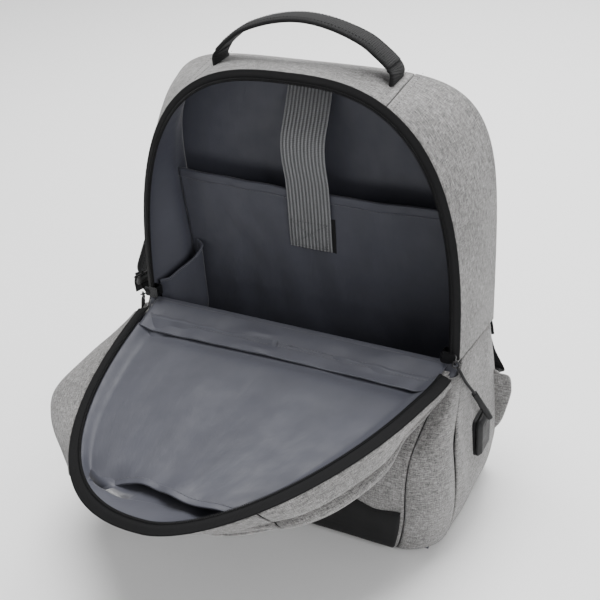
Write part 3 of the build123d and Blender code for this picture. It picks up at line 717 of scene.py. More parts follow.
def build_front_patch():
    """Black patch low on the front, its top edge curving down to the right-hand seam."""
    a, k = mesh_grid(dense_ends(60, 262), dense_ends(14, 36, 0.3))
    u = 2.02 + 0.98 * (1 - np.abs(2 * a - 1))
    side = np.where(a < 0.5, 1.0, -1.0)
    across = np.abs(2 * a - 1)
    top = 47 + 8 * hump(across, 0.66, 0.12) - 27 * ease((0.6 - across) / 0.5) + 5 * hump(across, 1.0, 0.15)
    z = 4 + (top - 4) * k
    points = lower(side, u, z, inset=-3.0)
    n = normals(points, outward_from=LOWER_MIDDLE)
    distance = edge_distance(points)
    points = points + n * (0.5 * ease(distance / 4) - 1.0 * hump(distance, 0, 0.8))[..., None]
    slab("front_patch_cloth", points, 1.1, "black_fabric", "root", ["front_patch"], out=LOWER_MIDDLE)
    line = lower(side[:, -4], u[:, -4], z[:, -4], inset=-3.6)
    stitches("front_patch_thread", line, vec(0, -1, 0), "black_webbing", "root")


def build_base():
    """Flat base with a rolled edge."""
    count = 120
    a = np.linspace(0, 1, count, endpoint=False)
    loop = []
    for place in a:
        q = place * 4
        if q < 1:
            loop.append(lower(1, np.array(3 * q), np.array(2.0)))
        elif q < 2:
            loop.append(lower(-1, np.array(3 * (2 - q)), np.array(2.0)))
        else:
            x = -1 + (q - 2)
            loop.append(vec(150 * x, BACK_Y - 3, 2.0))
    loop = resample(np.array(loop + loop[:1]), count + 1)[:-1]
    centre = vec(0, 0, 1.5)
    rings = []
    for inset, z in ((4.6, 8.0), (3.6, 3.0), (3.2, 1.2), (5, 0.25), (8, 0.1), (30, 0.1), (64, 0.3)):
        shrunk = loop + unit(centre - loop) * inset
        shrunk[:, 2] = z
        rings.append(shrunk)
    points = np.stack(rings, 1)
    points = np.concatenate([points, centre + (points[:, -1:] - centre) * 0.3], 1)
    points[:, -1, 2] = 0.3
    slab("base_cloth", points, 1.6, "black_fabric", "root", ["base_panel"], close_u=True, out=vec(0, 0, 60),
         uv=np.concatenate([points, points[:1]])[..., :2])


# ---- back of the bag ----
def back_outline(count):
    """Outline of the back panel, from the right foot over the top and round the bottom."""
    f = np.linspace(0, 1, count)
    x, h = BACK.at(f, 2.5)
    arch = coords(x, HINGE[2] + h)
    z = np.linspace(HINGE[2] - 4, 8, 24)
    half_w = lower_section(z)[0] - 2.5
    left = coords(-half_w, z)
    right = left[::-1] * vec(-1, 1)
    return resample(np.concatenate([arch, left, right, arch[:1]]), 2 * count)[:-1]


def build_back_panel():
    outline = back_outline(90)
    centre = vec(0, 190)
    rho = np.array([1, 0.995, 0.985, 0.96, 0.9, 0.8, 0.65, 0.45, 0.25, 0.02, 0.008, 0.002])
    lift = np.array([-2.5, -1.0, 0, 0.1, 0.1, 0.1, 0.1, 0.1, 0.1, 0.1, 0.1, 0.1])
    flat = centre + (outline[:, None] - centre) * rho[None, :, None]
    points = coords(flat[..., 0], BACK_Y - 0.2 + lift, flat[..., 1])
    uv = np.concatenate([flat, flat[:1]])
    slab("back_cloth", points, 4.0, "black_fabric", "root", ["back_panel"], close_u=True, out=BODY_MIDDLE,
         uv=uv)
    loop = centre + (outline - centre) * 0.991
    loop = coords(loop[:, 0], BACK_Y - 0.6, loop[:, 1])
    sweep("back_piping", resample(np.concatenate([loop, loop[:1]]), 181)[:-1], ring(1.7, 10), vec(0, 1, 0),
          "black_webbing", "root", closed=True)


def build_pad(name, node, x, z, width, height, thick, channels):
    """Crowned foam pad on the back, with sewn channels across it."""
    u, w = mesh_grid(2 * dense_ends(30, width, 1.0) - 1, 2 * dense_ends(60, height, 1.0) - 1)
    power, rho = 5.0, np.maximum(np.abs(u), np.abs(w))
    draw = rho / np.maximum((np.abs(u) ** power + np.abs(w) ** power) ** (1 / power), 1e-6)
    px, pz = u * draw * width / 2, w * draw * height / 2
    crown = thick * (1 - rho**7) ** 0.5 * (0.82 + 0.18 * (1 - rho**2))
    groove = np.zeros_like(px)
    for place in channels:
        groove += hump(pz, place * height / 2, 2.2)
    depth = crown * (1 - 0.62 * np.clip(groove, 0, 1))
    face = BACK_Y + 0.2
    points = coords(x + px, face + depth, z + pz)
    obj = slab(name, points, np.maximum(depth * 0.9, 0.4), "padded_mesh", "root", [node],
               uv=coords(px, pz), out=BODY_MIDDLE)
    a = np.linspace(0, 2 * pi, 96, endpoint=False)
    c, s = np.cos(a), np.sin(a)
    ox = squared(c, 2 / power) * width / 2
    oz = squared(s, 2 / power) * height / 2
    rim = coords(x + ox, face + 0.5, z + oz)
    sweep(name + "_binding", rim, ring(1.5, 8, 0.8), vec(0, 1, 0), "black_webbing", "root", closed=True)


def build_back_pads():
    low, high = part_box("back_pad_right")
    z = (low.z + high.z) / 2 / MM
    width, height, x = (high.x - low.x) / MM, (high.z - low.z) / MM, (low.x + high.x) / 2 / MM
    for side, name in SIDES:
        build_pad(f"back_pad_cloth_{name}", f"back_pad_{name}", side * x, z, width - 1, height - 1, 7.4,
                  (-0.66, -0.33, 0, 0.33, 0.66))
    low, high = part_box("lumbar_pad")
    build_pad("lumbar_pad_cloth", "lumbar_pad", 0, (low.z + high.z) / 2 / MM, (high.x - low.x) / MM - 1,
              (high.z - low.z) / MM - 1, 7.4, (-0.33, 0.33))
    low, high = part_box("shoulder_yoke")
    a, k = mesh_grid(dense_ends(30, 190), dense_ends(8, 40))
    x = low.x / MM + a * (high.x - low.x) / MM
    z = low.z / MM + k * (high.z - low.z) / MM
    y = np.full_like(x, high.y / MM - 0.3) - 0.8 * hump(edge_distance(coords(x, 0, z)), 0, 1.2)
    slab("shoulder_yoke_cloth", coords(x, y, z), 1.5, "black_fabric", "root", ["shoulder_yoke"],
         out=BODY_MIDDLE)
    for k, z in enumerate((low.z / MM + 4, high.z / MM - 4)):
        line = coords(np.linspace(low.x / MM + 4, high.x / MM - 4, 60), np.full(60, high.y / MM - 0.2),
                         np.full(60, z))
        stitches(f"yoke_thread_{k}", line, vec(0, 1, 0), "black_webbing", "root")


# ---- lining ----
BACK_LINING_Y, BACK_LINING_TOP, SLEEVE_Y = 62.6, 381, 43.4
STRAP_FACE_Y = 41.0  # y of the elastic strap where it lies on the sleeve


def left_pull(z):
    """How far the sleeve's edge draws the left inner wall inward at height z."""
    return 12.0 + 11.0 * ease((330 - z) / 130) - 12.0 * ease((z - 350) / 30)


def build_lining():
    inset = WALL + 0.8
    f, s = mesh_grid(np.linspace(0.0, 1.0, 150), np.linspace(0.03, 0.86, 24))
    points = upper(f, s, inset)
    n = normals(points, outward_from=BODY_MIDDLE)
    fade = ease(s / 0.25) * ease((0.95 - s) / 0.2)
    points = points - n * (fade * (1.2 + 1.8 * rumple(points, (45, 30, 60), 5.1)))[..., None]
    drawn = left_pull(points[..., 2]) * ease((f - 0.55) / 0.2) * ease(s / 0.55)
    points = points + X_AXIS * drawn[..., None]
    slab("lining_upper_cloth", points, 0.7, "lining", "root", ["lining_upper"], out=BODY_MIDDLE)

    z = np.concatenate([[WALL + 1.4], np.linspace(WALL + 3, 168.5, 36)])
    u = np.concatenate([np.linspace(0.1, 1, 14), np.linspace(1.1, 2, 9), np.linspace(2.05, 3, 30)])
    sides = np.concatenate([np.ones(len(u)), -np.ones(len(u) - 1)])
    uu, zz = mesh_grid(np.concatenate([u, u[-2::-1]]), z)
    points = lower(sides[:, None], uu, zz, inset)
    n = normals(points, outward_from=LOWER_MIDDLE)
    fade = ease((zz - 8) / 20) * ease((168 - zz) / 12)
    points = points - n * (fade * (1.4 + 1.6 * rumple(points, (40, 40, 90), 2.2)))[..., None]
    slack = left_pull(zz) * (points[..., 0] < -100) * ease((points[..., 1] + 5) / 42) * ease((zz - 90) / 60)
    points = points + X_AXIS * slack[..., None]
    slab("lining_lower_cloth", points, 0.7, "lining", "root", ["lining_lower"], out=LOWER_MIDDLE)

    a, k = mesh_grid(np.linspace(-1, 1, 50), np.linspace(0, 1, 24))
    x, y = a * 150.0, -60 + k * 122
    points = coords(x, y, WALL + 2.2 + 0.8 * rumple(np.stack([x, y, 0 * x], -1), 40, 4))
    slab("lining_floor_cloth", points, 0.8, "lining", "root", out=vec(0, 0, 200))


def back_wall(y, top, inset, rows=60, columns=70):
    """Grid across the inside of the bag at y, from the base to height top."""
    a, k = mesh_grid(np.linspace(-1, 1, columns), np.linspace(0, 1, rows))
    z = 6 + (top - 6) * k
    share = (y + 5) / (BACK_Y + 5)
    rise = np.clip(z - HINGE[2], 0, None)
    front_w = HALF_W * np.clip(1 - (rise / ARCH_H) ** ARCH_POWER, 0, 1) ** (1 / ARCH_POWER)
    back_w = BACK_HALF_W * np.clip(1 - (rise / BACK_H) ** BACK_POWER, 0, 1) ** (1 / BACK_POWER)
    half_w = np.where(z > HINGE[2], front_w + (back_w - front_w) * share, lower_section(z)[0]) - inset
    return coords(a * half_w, y, z), a, k


def build_back_lining():
    points, a = back_wall(BACK_LINING_Y, BACK_LINING_TOP, 5.5)[:2]
    crease = 1.6 * rumple(points, (50, 1, 90), 7.7) * ease((1 - np.abs(a)) * 12)
    points = points + vec(0, -1, 0) * crease[..., None]
    slab("lining_back_cloth", points, 0.7, "lining", "root", ["lining_back"], out=BEHIND)


def build_sleeve():
    """Laptop sleeve: foam-backed satin with a bound top edge, slack between its sides."""
    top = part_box("laptop_sleeve")[1].z / MM
    points, a, k = back_wall(SLEEVE_Y, top, 5.6, rows=80, columns=90)
    loose = ease((1 - np.abs(a)) * 6)
    fold = 3.2 * rumple(points, (30, 1, 110), 9.3)
    fold = fold + 3.6 * ease((0.6 - k) * 3) * rumple(points, (55, 1, 50), 2.9)
    fold = fold + 1.6 * np.abs(rumple(points + points[..., ::-1] * 0.4, (38, 1, 70), 6.1))
    dip = 3.0 * (1 - a**2) * ease((k - 0.9) * 10)
    drawn = left_pull(points[..., 2]) * np.clip((1 - a) / 2, 0, 1) ** 3
    points = points + X_AXIS * drawn[..., None]
    points = points + vec(0, -1, 0) * (loose * fold)[..., None] - vec(0, 0, 1) * (dip * k)[..., None]
    slab("laptop_sleeve_cloth", points, 1.9, "lining", "root", ["laptop_sleeve"], out=BEHIND)
    hem = points[:, -1] + vec(0, 0.8, -3.0)
    sweep("sleeve_hem", hem, strap_section(9, 3.4, 4), vec(0, 0, 1), "lining", "root")
    stitches("sleeve_hem_thread", points[:, -1] + vec(0, -1.5, -6.6), vec(0, -1, 0), "elastic", "root",
             pitch=3.0, width=0.5)


def patch(name, x0, x1, z0, z1, y, thick, look, body, stands_for=()):
    """Small sewn patch that faces the front."""
    a, k = mesh_grid(dense_ends(16, x1 - x0, 0.3), dense_ends(14, z1 - z0, 0.3))
    x, z = x0 + (x1 - x0) * a, z0 + (z1 - z0) * k
    points = coords(x, y, z)
    dome = 0.5 * ease(edge_distance(points) / 3)
    points = points + vec(0, -1, 0) * dome[..., None]
    return slab(name, points, thick, look, body, stands_for, out=BEHIND)


def build_laptop_strap():
    low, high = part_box("sleeve_loop_patch")
    x, z0, z1, y = high.x / MM, low.z / MM, high.z / MM, high.y / MM - 0.3
    patch("sleeve_patch_cloth", -x - 1, x + 1, z0, z1, y - 1.0, 0.9, "black_fabric", "root",
          ["sleeve_loop_patch"])
    low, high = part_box("laptop_strap")
    width, end_z = (high.x - low.x) / MM, low.z / MM
    route = [(0, 57.5, 373), (0, 47, 352), (0, 37, 333), (0, 35.5, 315), (0, 39.5, 290),
             (0, STRAP_FACE_Y - 0.3, 262), (0, STRAP_FACE_Y - 0.4, 240), (0, STRAP_FACE_Y, end_z)]
    path = spline(route, 120)
    sweep("laptop_strap_web", path, strap_section(width, 2.2, 7), X_AXIS, "elastic", "laptop_strap",
          ["laptop_strap"])
    low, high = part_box("strap_hook_patch")
    patch("hook_patch_cloth", low.x / MM, high.x / MM, low.z / MM, high.z / MM, high.y / MM - 0.4, 0.6,
          "black_fabric", "laptop_strap", ["strap_hook_patch"])
    x, z0, z1 = width / 2 - 3.5, end_z + 3, end_z + 27
    corners = [(-x, z0), (x, z0), (x, z1), (-x, z1), (-x, z0), (x, z1), (x, z0), (-x, z1)]
    for k, (p, q) in enumerate(zip(corners, corners[1:])):
        line = np.linspace((p[0], STRAP_FACE_Y - 2.3, p[1]), (q[0], STRAP_FACE_Y - 2.3, q[1]), 30)
        stitches(f"strap_box_thread_{k}", line, vec(0, -1, 0), "black_webbing", "laptop_strap", pitch=2.6)


def build_side_pocket():
    """Small pocket on the left inner wall, open along its slanted top."""
    a, k = mesh_grid(dense_ends(14, 42, 0.4), dense_ends(30, 140, 0.4))
    y = 2 + 40 * a
    z = 60 + k * (124 + 28 * a)
    drawn = left_pull(z) * ease((y + 5) / 42) * ease((z - 90) / 60)
    crease = 1.5 * rumple(coords(0, y, z), (1, 16, 50), 6)
    x = drawn - 138.5 + crease - 7.5 * hump(np.minimum(a, 1 - a), 0, 0.06)
    points = coords(x, y, z)
    slab("side_pocket_cloth", points, 0.9, "lining", "root", ["inner_side_pocket"], out=vec(-400, 20, 150))
    sweep("side_pocket_hem", points[:, -1] + vec(0.4, 0, -0.5), ring(1.3, 8), X_AXIS, "lining", "root")


# ---- zips ----
def band(arch, place, width, set_back, flip, start, name, body):
    """Zip tape turned in from the cloth's edge, with its coil of teeth along the inner edge."""
    f = np.linspace(start, 1 - start, 260)
    k = np.linspace(0, 1, 9)
    ff, kk = mesh_grid(f, k)
    x, h = arch.at(ff, -0.6 + kk * width)
    out = set_back * (1 - kk) ** 1.3 - 0.5 * np.sign(set_back) * hump(kk, 0.55, 0.2)
    points = place(x, h, out)
    slab(f"{name}_tape_cloth", points, 0.9, "zip_tape", body, [f"{name}_tape"], flip=flip)
    count = int(arch.total * (1 - 2 * start) / 1.55)
    f = np.linspace(start, 1 - start, count)
    corners = []
    for inset, rise, along in (
        (0.0, 0.0, -0.5), (0.0, 0.0, 0.5), (0.0, 1.5, -0.32), (0.0, 1.5, 0.32),
        (2.6, 0.2, -0.5), (2.6, 0.2, 0.5), (2.6, 1.2, -0.32), (2.6, 1.2, 0.32),
    ):
        x, h = arch.at(f, width - 2.3 + inset)
        nx, nh = arch.outward(f)
        sign = 1 if set_back > 0 else -1
        corners.append(place(x - nh * along * 1.05, h + nx * along * 1.05, -sign * (rise - 0.75)))
    points = np.stack(corners, 1)
    shape = ((0, 1, 3, 2), (4, 6, 7, 5), (0, 4, 5, 1), (2, 3, 7, 6), (0, 2, 6, 4), (1, 5, 7, 3))
    faces = [[8 * i + c for c in face] for i in range(count) for face in shape]
    piece(f"{name}_teeth", points.reshape(-1, 3), faces, None, "zip_coil", body, [f"{name}_coil"])


def build_zips():
    band(ZIP, in_zip_plane, TAPE_W, -TAPE_SET, False, 0.004, "body_zip", "root")
    band(RIM, in_lid, LID_TAPE_W, TAPE_SET, True, 0.026, "lid_zip", "lid")


# ---- lid ----
def gusset_swell(f):
    """How far the lid's edge cloth swells outward, and how far its seam is drawn in, along the rim."""
    left = 38.0 * hump(f, 0.825, 0.095)
    right = 3.0 * ease((0.42 - f) / 0.12)
    drawn = 19.0 * hump(f, 0.5, 0.1) + 27.0 * ease((0.47 - f) / 0.12) * ease((f - 0.02) / 0.1)
    return left + right, drawn


def lid_edge(f, k):
    """Lid's edge cloth: k 0 at the tape on the slack rim, 1 at the seam with the lid's front."""
    swell, drawn = gusset_swell(f)
    x0, v0 = RIM.at(f)
    x1, v1 = ZIP.at(f, 1.0 + drawn)
    nx, nv = RIM.outward(f)
    deep = np.maximum(lid_depth(v1), 6.0)
    lateral = swell * np.sin(pi * k**0.75)
    right = ease((0.42 - f) / 0.1) * ease((v1 - 20) / 40)
    lateral = lateral - right * 4.5 * hump(k, 0.62, 0.05) + right * 4.0 * hump(k, 0.8, 0.13)
    w = TAPE_SET + (deep - TAPE_SET) * (0.65 * k + 0.35 * (1 - np.cos(pi * k)) / 2)
    share = ease(k)
    x, v = x0 + (x1 - x0) * share, v0 + (v1 - v0) * share
    return in_lid(x + nx * lateral, v + nv * lateral, w, 1 - share)


def build_lid_outside():
    under = in_lid(0, 110, 10)
    side_end = 0.345
    tip_start = side_end + 0.002
    ranges = {"right": (LID_START, side_end), "tip": (tip_start, 1 - tip_start),
              "left": (1 - side_end, LID_END)}
    for name, (f0, f1) in ranges.items():
        f, k = mesh_grid(f0 + (f1 - f0) * dense_ends(70, 200), dense_ends(26, 40, 0.4))
        panel(f"lid_edge_cloth_{name}", lid_edge(f, k), "grey_fabric", "lid", [f"lid_gusset_{name}"],
              thick=2.2, puff=0.4, edge=1.4, out=under, crease=1.6, size=(34, 34, 22))
    f = np.linspace(LID_START, LID_END, 160)
    rim = lid_edge(f, np.full_like(f, 0.995))
    sweep("lid_piping", rim, ring(1.5, 8), LID_UNDER, "grey_fabric", "lid")
    rho = 1 - np.concatenate([[0, 0.004, 0.012, 0.03], np.linspace(0.06, 0.97, 34)])
    ff, rr = mesh_grid(np.linspace(LID_START, LID_END, 140), rho)
    x, v = ZIP.at(ff, 1.0 + gusset_swell(ff)[1])
    x, v = x * rr, 16 + (v - 16) * rr
    points = in_lid(x, v, np.maximum(lid_depth(v), 6.0) - 1.5 * hump(rr, 1, 0.008), 0.0)
    loose = ease((1 - rr) * 10) * ease((95 - v) / 30)
    points = points + LID_UNDER * (1.5 * rumple(points, (60, 60, 40), 8.8) * loose)[..., None]
    uv = coords(x, v)
    slab("lid_front_cloth", points, 2.4, "grey_fabric", "lid", ["lid_front_panel"], uv=uv, out=LID_ABOVE)


def build_hinge_strip():
    """Outer cloth from the hinge to the lid's front."""
    a, k = mesh_grid(np.linspace(-1, 1, 60), np.linspace(0, 1, 8))
    v = -3 + 22.6 * k
    points = in_lid(a * (151 - 0.1 * v), v, np.maximum(lid_depth(v) + 0.6, 9.0), 0.0)
    slab("lid_hinge_cloth", points, 0.8, "grey_fabric", "lid", out=LID_ABOVE)


def pocket_surface(a, v):
    """Face of the lid's patch pocket, a from -1 to 1 across it."""
    share = np.clip(v / (RIM_H - LID_TAPE_W + 1), 0, 1)
    full = RIM_HALF_W - LID_TAPE_W + 1
    right, left = (full * (1 - share**power) ** (1 / power) for power in (RIM_RIGHT, RIM_LEFT))
    x = (right - left) / 2 + a * (right + left) / 2
    inside = ease((1 - np.abs(a)) * 9)
    flat = coords(x, v, 0)
    near_hem = ease((v - 165) / 35)
    crease = 1.1 * rumple(flat, (34, 130, 1), 4.4) + 0.9 * rumple(flat, (60, 55, 1), 1.9)
    crease = crease + near_hem * 2.6 * rumple(flat, (20, 32, 1), 6.2)
    crown = 3.0 * (1 - a**2)
    gape = 4.5 * ease((v - 175) / 30) * np.cos(pi * a * 1.2)
    pull = 2.5 * hump(v, 36, 9)
    return in_lid(x, v, 2.0 + 5.5 * inside - crown + inside * (crease + pull) - inside * gape * 0.6)


def hem_line(a):
    """Distance of the pocket's hem from the hinge; it sags toward the middle."""
    return 203 - 6 * np.cos(pi * a / 2) + 3 * np.sin(5 * a)


def build_lid_inside():
    above = in_lid(0, 110, 80)
    down = np.concatenate([np.linspace(0, 0.3, 14), np.linspace(0.34, 1, 24)])
    ff, q = mesh_grid(np.linspace(LID_START, LID_END, 150), down)
    wall, floor = np.clip(q / 0.3, 0, 1), np.clip((q - 0.3) / 0.7, 0, 1) * 0.96
    x0, v0 = RIM.at(ff, LID_TAPE_W - 2)
    x1, v1 = ZIP.at(ff, 7.0 + gusset_swell(ff)[1])
    x, v = x0 + (x1 - x0) * ease(wall), v0 + (v1 - v0) * ease(wall)
    x, v = x * (1 - floor), 18 + (v - 18) * (1 - floor)
    deep = np.maximum(lid_depth(v) - 5.0, 2.0)
    points = in_lid(x, v, 1.5 + (deep - 1.5) * ease(wall), 1 - ease(wall))
    crease = 0.8 + 2.2 * rumple(points, (16, 30, 30), 3.3) + 1.5 * rumple(points, (40, 40, 40), 5.3)
    points = points - LID_UNDER * (ease(wall) * np.maximum(crease, -1.0))[..., None]
    slab("lid_lining_cloth", points, 0.7, "lining", "lid", ["lid_lining"], out=above)
    a, k = mesh_grid(np.linspace(-1, 1, 150), np.linspace(0, 1, 130))
    v = 33 + (hem_line(a) - 33) * k
    points = pocket_surface(a, v)
    slab("lid_pocket_cloth", points, 0.9, "lining", "lid", ["lid_pocket"], out=above)
    hem = points[2:-2, -1] + LID_UNDER * 0.2
    sweep("lid_pocket_hem", hem, strap_section(6, 2.0, 4), LID_AWAY, "lining", "lid")
    stitches("lid_hem_thread", points[2:-2, -3] - LID_UNDER * 0.9, -LID_UNDER, "elastic", "lid", pitch=3.0)


HINGE_CLOTH_IN, HINGE_CLOTH_OUT, BLEND_LENGTH = 9, 36, 12  # reach into the bag and the lid, and the bend


def hinge_point(a, q):
    """Inner cloth that crosses the hinge: q 0 inside the bag, 1 at the pocket's seam."""
    v = -HINGE_CLOTH_IN + (HINGE_CLOTH_IN + HINGE_CLOTH_OUT) * q
    inside = np.clip(-v / HINGE_CLOTH_IN, 0, 1)
    x = a * (146.0 - 0.075 * np.abs(v))
    on_lid = np.clip(v, 0, None)
    flat = coords(x, 3 * v, 0)
    pucker = 1.5 * rumple(flat, (22, 60, 1), 2.4)
    pucker = pucker + 1.6 * hump(x, -25, 16) * np.sin(v * 0.35) * hump(v, 24, 14)
    drop = 2.0 + 5.0 * ease(on_lid / 30) * ease((1 - np.abs(a)) * 9) - 3.0 * (1 - a**2) * ease(on_lid / 30)
    point = in_lid(x, on_lid, drop + pucker * ease((1 - np.abs(a)) * 12) * ease((v + HINGE_CLOTH_IN) / 12))
    return point + vec(0, 0.35, -1)[None, None] * (inside * 9)[..., None]


def build_hinge_cloth():
    a, q = mesh_grid(np.linspace(-1, 1, 110), np.linspace(0, 1, 40))
    obj = slab("hinge_lining", hinge_point(a, q), 0.9, "lining", out=in_lid(0, 30, 200))
    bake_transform(obj)
    for k, place in enumerate((0.62, 0.70)):
        a = np.linspace(-0.97, 0.97, 200)
        line = hinge_point(a[None], np.full((1, 200), place))[0]
        stitches(f"hinge_thread_{k}", line - LID_UNDER * 0.5, -LID_UNDER, "elastic", "lid", pitch=3.0)


# ---- carry handle ----
HANDLE_FOOT_Z = 403.0


def build_handle():
    low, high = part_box("carry_handle")
    y, foot_z, top_z = (low.y + high.y) / 2 / MM, HANDLE_FOOT_Z, high.z / MM - 3.4
    half = high.x / MM - 4.5
    rise = [(half, y, foot_z - 1), (half - 9, y, foot_z + 7), (half * 0.68, y, foot_z + 18),
            (half * 0.34, y, foot_z + 27)]
    fall = [(-x, y, z) for x, y, z in reversed(rise)]
    path = spline([*rise, (0, y, top_z), *fall], 90)
    across = np.linspace(0, 1, 90)
    width = 25 - 4.5 * np.sin(pi * across) ** 2
    section = np.stack([strap_section(w, 4.6, 4.5) for w in width])
    droop = 0.9 * (1 - (section[..., :1] / 12.5) ** 2)
    section = np.concatenate([section[..., :1], section[..., 1:] - droop + 0.6], -1)
    sweep("handle_web", path, section, vec(0, 1, 0), "black_webbing", "carry_handle", ["carry_handle"])
    for k, offset in enumerate((-7.6, 7.6)):
        up = unit(path - vec(0, y, 330))
        line = path[5:-5] + vec(0, offset, 0) + up[5:-5] * 2.4
        stitches(f"handle_thread_{k}", line, vec(0, 0, 1), "black_fabric", "carry_handle", pitch=3.0)
    for side, name in SIDES:
        x = side * half
        route = [(x - side * 1, y, foot_z - 1.5), (x + side * 1.5, y, foot_z - 5),
                 (x + side * 2.5, y - 1, 394), (x + side * 1.5, y - 2, 387)]
        sweep(f"handle_root_{name}", spline(route, 20), strap_section(25.5, 4.4, 4.5), vec(0, 1, 0),
              "black_webbing", "root", [f"handle_anchor_{name}"])


# ---- shoulder straps ----
STRAP_TOP, STRAP_LOW = vec(55, 76.5, 372), vec(172, 76.5, 112)  # ends of the right strap
PAD_HALF_W, PAD_MID, WEB_MID = 28.0, 31, 18.5  # half width of the pad; middles of pad and webbing


def build_shoulder_strap(side, name, route, turn):
    """Padded strap with its lock and webbing; route gives the way along and off the line between its ends."""
    top, low = (end * vec(side, 1, 1) for end in (STRAP_TOP, STRAP_LOW))
    body = f"shoulder_strap_{name}"
    along = unit(low - top)
    outward = vec(-side * along[2], 0, side * along[0])
    off = outward * cos(turn) + vec(0, sin(turn), 0)
    across = -side * np.cross(along, off)

    def at(s, d, w):
        return top + along * s + off * d + across * w

    line = spline([at(s, d, PAD_MID) for s, d in route], 110)
    t = np.linspace(0, 1, 110)
    top_taper = np.minimum(1, 0.72 + 0.28 * ease(t / 0.1))
    end_taper = np.sqrt(np.clip(1 - np.clip((t - 0.93) / 0.07, 0, 1) ** 3 * 0.5, 0, 1))
    half = PAD_HALF_W * top_taper * end_taper
    crown = np.minimum(ease(t / 0.03), ease((1 - t) / 0.03)) * 0.75 + 0.25
    a = np.linspace(0, 2 * pi, 44, endpoint=False)
    c, s = np.cos(a), np.sin(a)
    x = squared(c, 0.55)
    groove = 1 - 0.4 * hump(np.abs(x), 0.74, 0.045)
    z = squared(s, 0.75) * groove * 5.0
    section = coords(half[:, None] * x[None], crown[:, None] * z[None])
    pad = sweep(f"shoulder_pad_cloth_{name}", line, section, across, "padded_mesh", body,
                [f"shoulder_pad_{name}"])
    for k, edge in enumerate((-1, 1)):
        rim = line + across * (edge * (half - 0.6))[:, None]
        sweep(f"strap_binding_{name}_{k}", rim, ring(2.3, 10, 0.9), off, "black_webbing", body)
    end_s, end_d = route[-1]
    low_s = float(np.linalg.norm(low - top))
    centre = at(end_s + 4.5, end_d - 1, 2 + 17)
    block(f"lock_frame_{name}", centre - off * 2.4, along, across, round_box(11, 34, 2.5),
          ((1.2, 0), (0, 1.2), (0, 3.6), (1.2, 4.8)), "black_plastic", body, [f"ladder_lock_{name}"])
    for k, shift in enumerate((-2.6, 2.6)):
        bar = np.linspace(centre + across * -14 + along * shift, centre + across * 14 + along * shift, 8)
        sweep(f"lock_bar_{name}_{k}", bar + off * 2.6, ring(1.5, 10), along, "black_plastic", body)
    path = [at(s, d, WEB_MID) for s, d in (
        (end_s + 9, end_d - 2), (end_s + 13, end_d * 0.7), ((end_s + low_s) / 2 + 8, end_d * 0.42),
        (low_s + 5, 12), (low_s - 2, 3),
    )]
    sweep(f"strap_web_{name}", spline(path, 40), strap_section(25, 1.7, 7), across, "black_webbing", body,
          [f"strap_webbing_{name}"])
    tail = [at(end_s + s, end_d + d, WEB_MID) for s, d in ((6, 2.5), (14, 1), (24, -5))]
    sweep(f"strap_tail_{name}", spline(tail, 16), strap_section(25, 1.6, 7), across, "black_webbing", body)


def build_anchor_tab(side, name):
    """Grey triangle of cloth at the back corner that holds the lower end of a shoulder strap."""
    outline = np.array([(163.2, 45), (163.2, 81), (163.2, 117), (172, 116.5), (180, 115), (182.3, 104),
                        (181.5, 92), (174, 62)])
    outline = spline(np.concatenate([outline, outline[:1]]), 73)[:-1]
    centre = vec(170.5, 88)
    rho = np.array([1, 0.98, 0.94, 0.8, 0.5, 0.02, 0.002])
    lift = np.array([0, 0.9, 1.2, 1.5, 1.7, 1.7, 1.7])
    flat = centre + (outline[:, None] - centre) * rho[None, :, None]
    points = coords(side * flat[..., 0], 66.6 - lift, flat[..., 1])
    uv = np.concatenate([flat, flat[:1]])
    slab(f"anchor_cloth_{name}", points, 2.6, "grey_fabric", "root", [f"anchor_tab_{name}"], close_u=True,
         uv=uv, out=vec(side * 170, 300, 88))


def build_straps():
    build_shoulder_strap(1, "right", ((10, 8), (60, 18), (120, 26), (180, 28), (232, 25)), radians(88))
    build_shoulder_strap(-1, "left", ((10, 8), (60, 28), (140, 52), (230, 70), (310, 72)), radians(12))
    for side, name in SIDES:
        build_anchor_tab(side, name)


# ---- USB port ----
COVER_W, COVER_H, COVER_R = 28, 38, 5


def build_port():
    low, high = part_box("usb_base")
    centre = vec(low.x, (low.y + high.y) / 2, (low.z + high.z) / 2) / MM
    low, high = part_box("usb_cover")
    origin = vec(low.x / MM, centre[1], centre[2])
    block("port_cover", origin, vec(0, 1, 0), vec(0, 0, 1), round_box(COVER_W, COVER_H, COVER_R),
          ((0.7, 0), (0, 0.6), (0, 2.4), (0.6, 3.1), (3.0, 5.2), (4.2, 5.5), (6, 5.55)), "black_rubber",
          "usb_cover", ["usb_cover"])
    block("port_thumb_rib", origin + vec(5.0, 0, 12.0), vec(0, 1, 0), vec(0, 0, 1), round_box(13, 3, 1.4),
          ((0.3, 0), (0, 0.4), (0.3, 0.7)), "black_rubber", "usb_cover")


# ---- zip pulls ----
PULL_START, PULL_END, TAB_LENGTH = vec(154.5, -12.5, 176), vec(181, 8, 111), 34


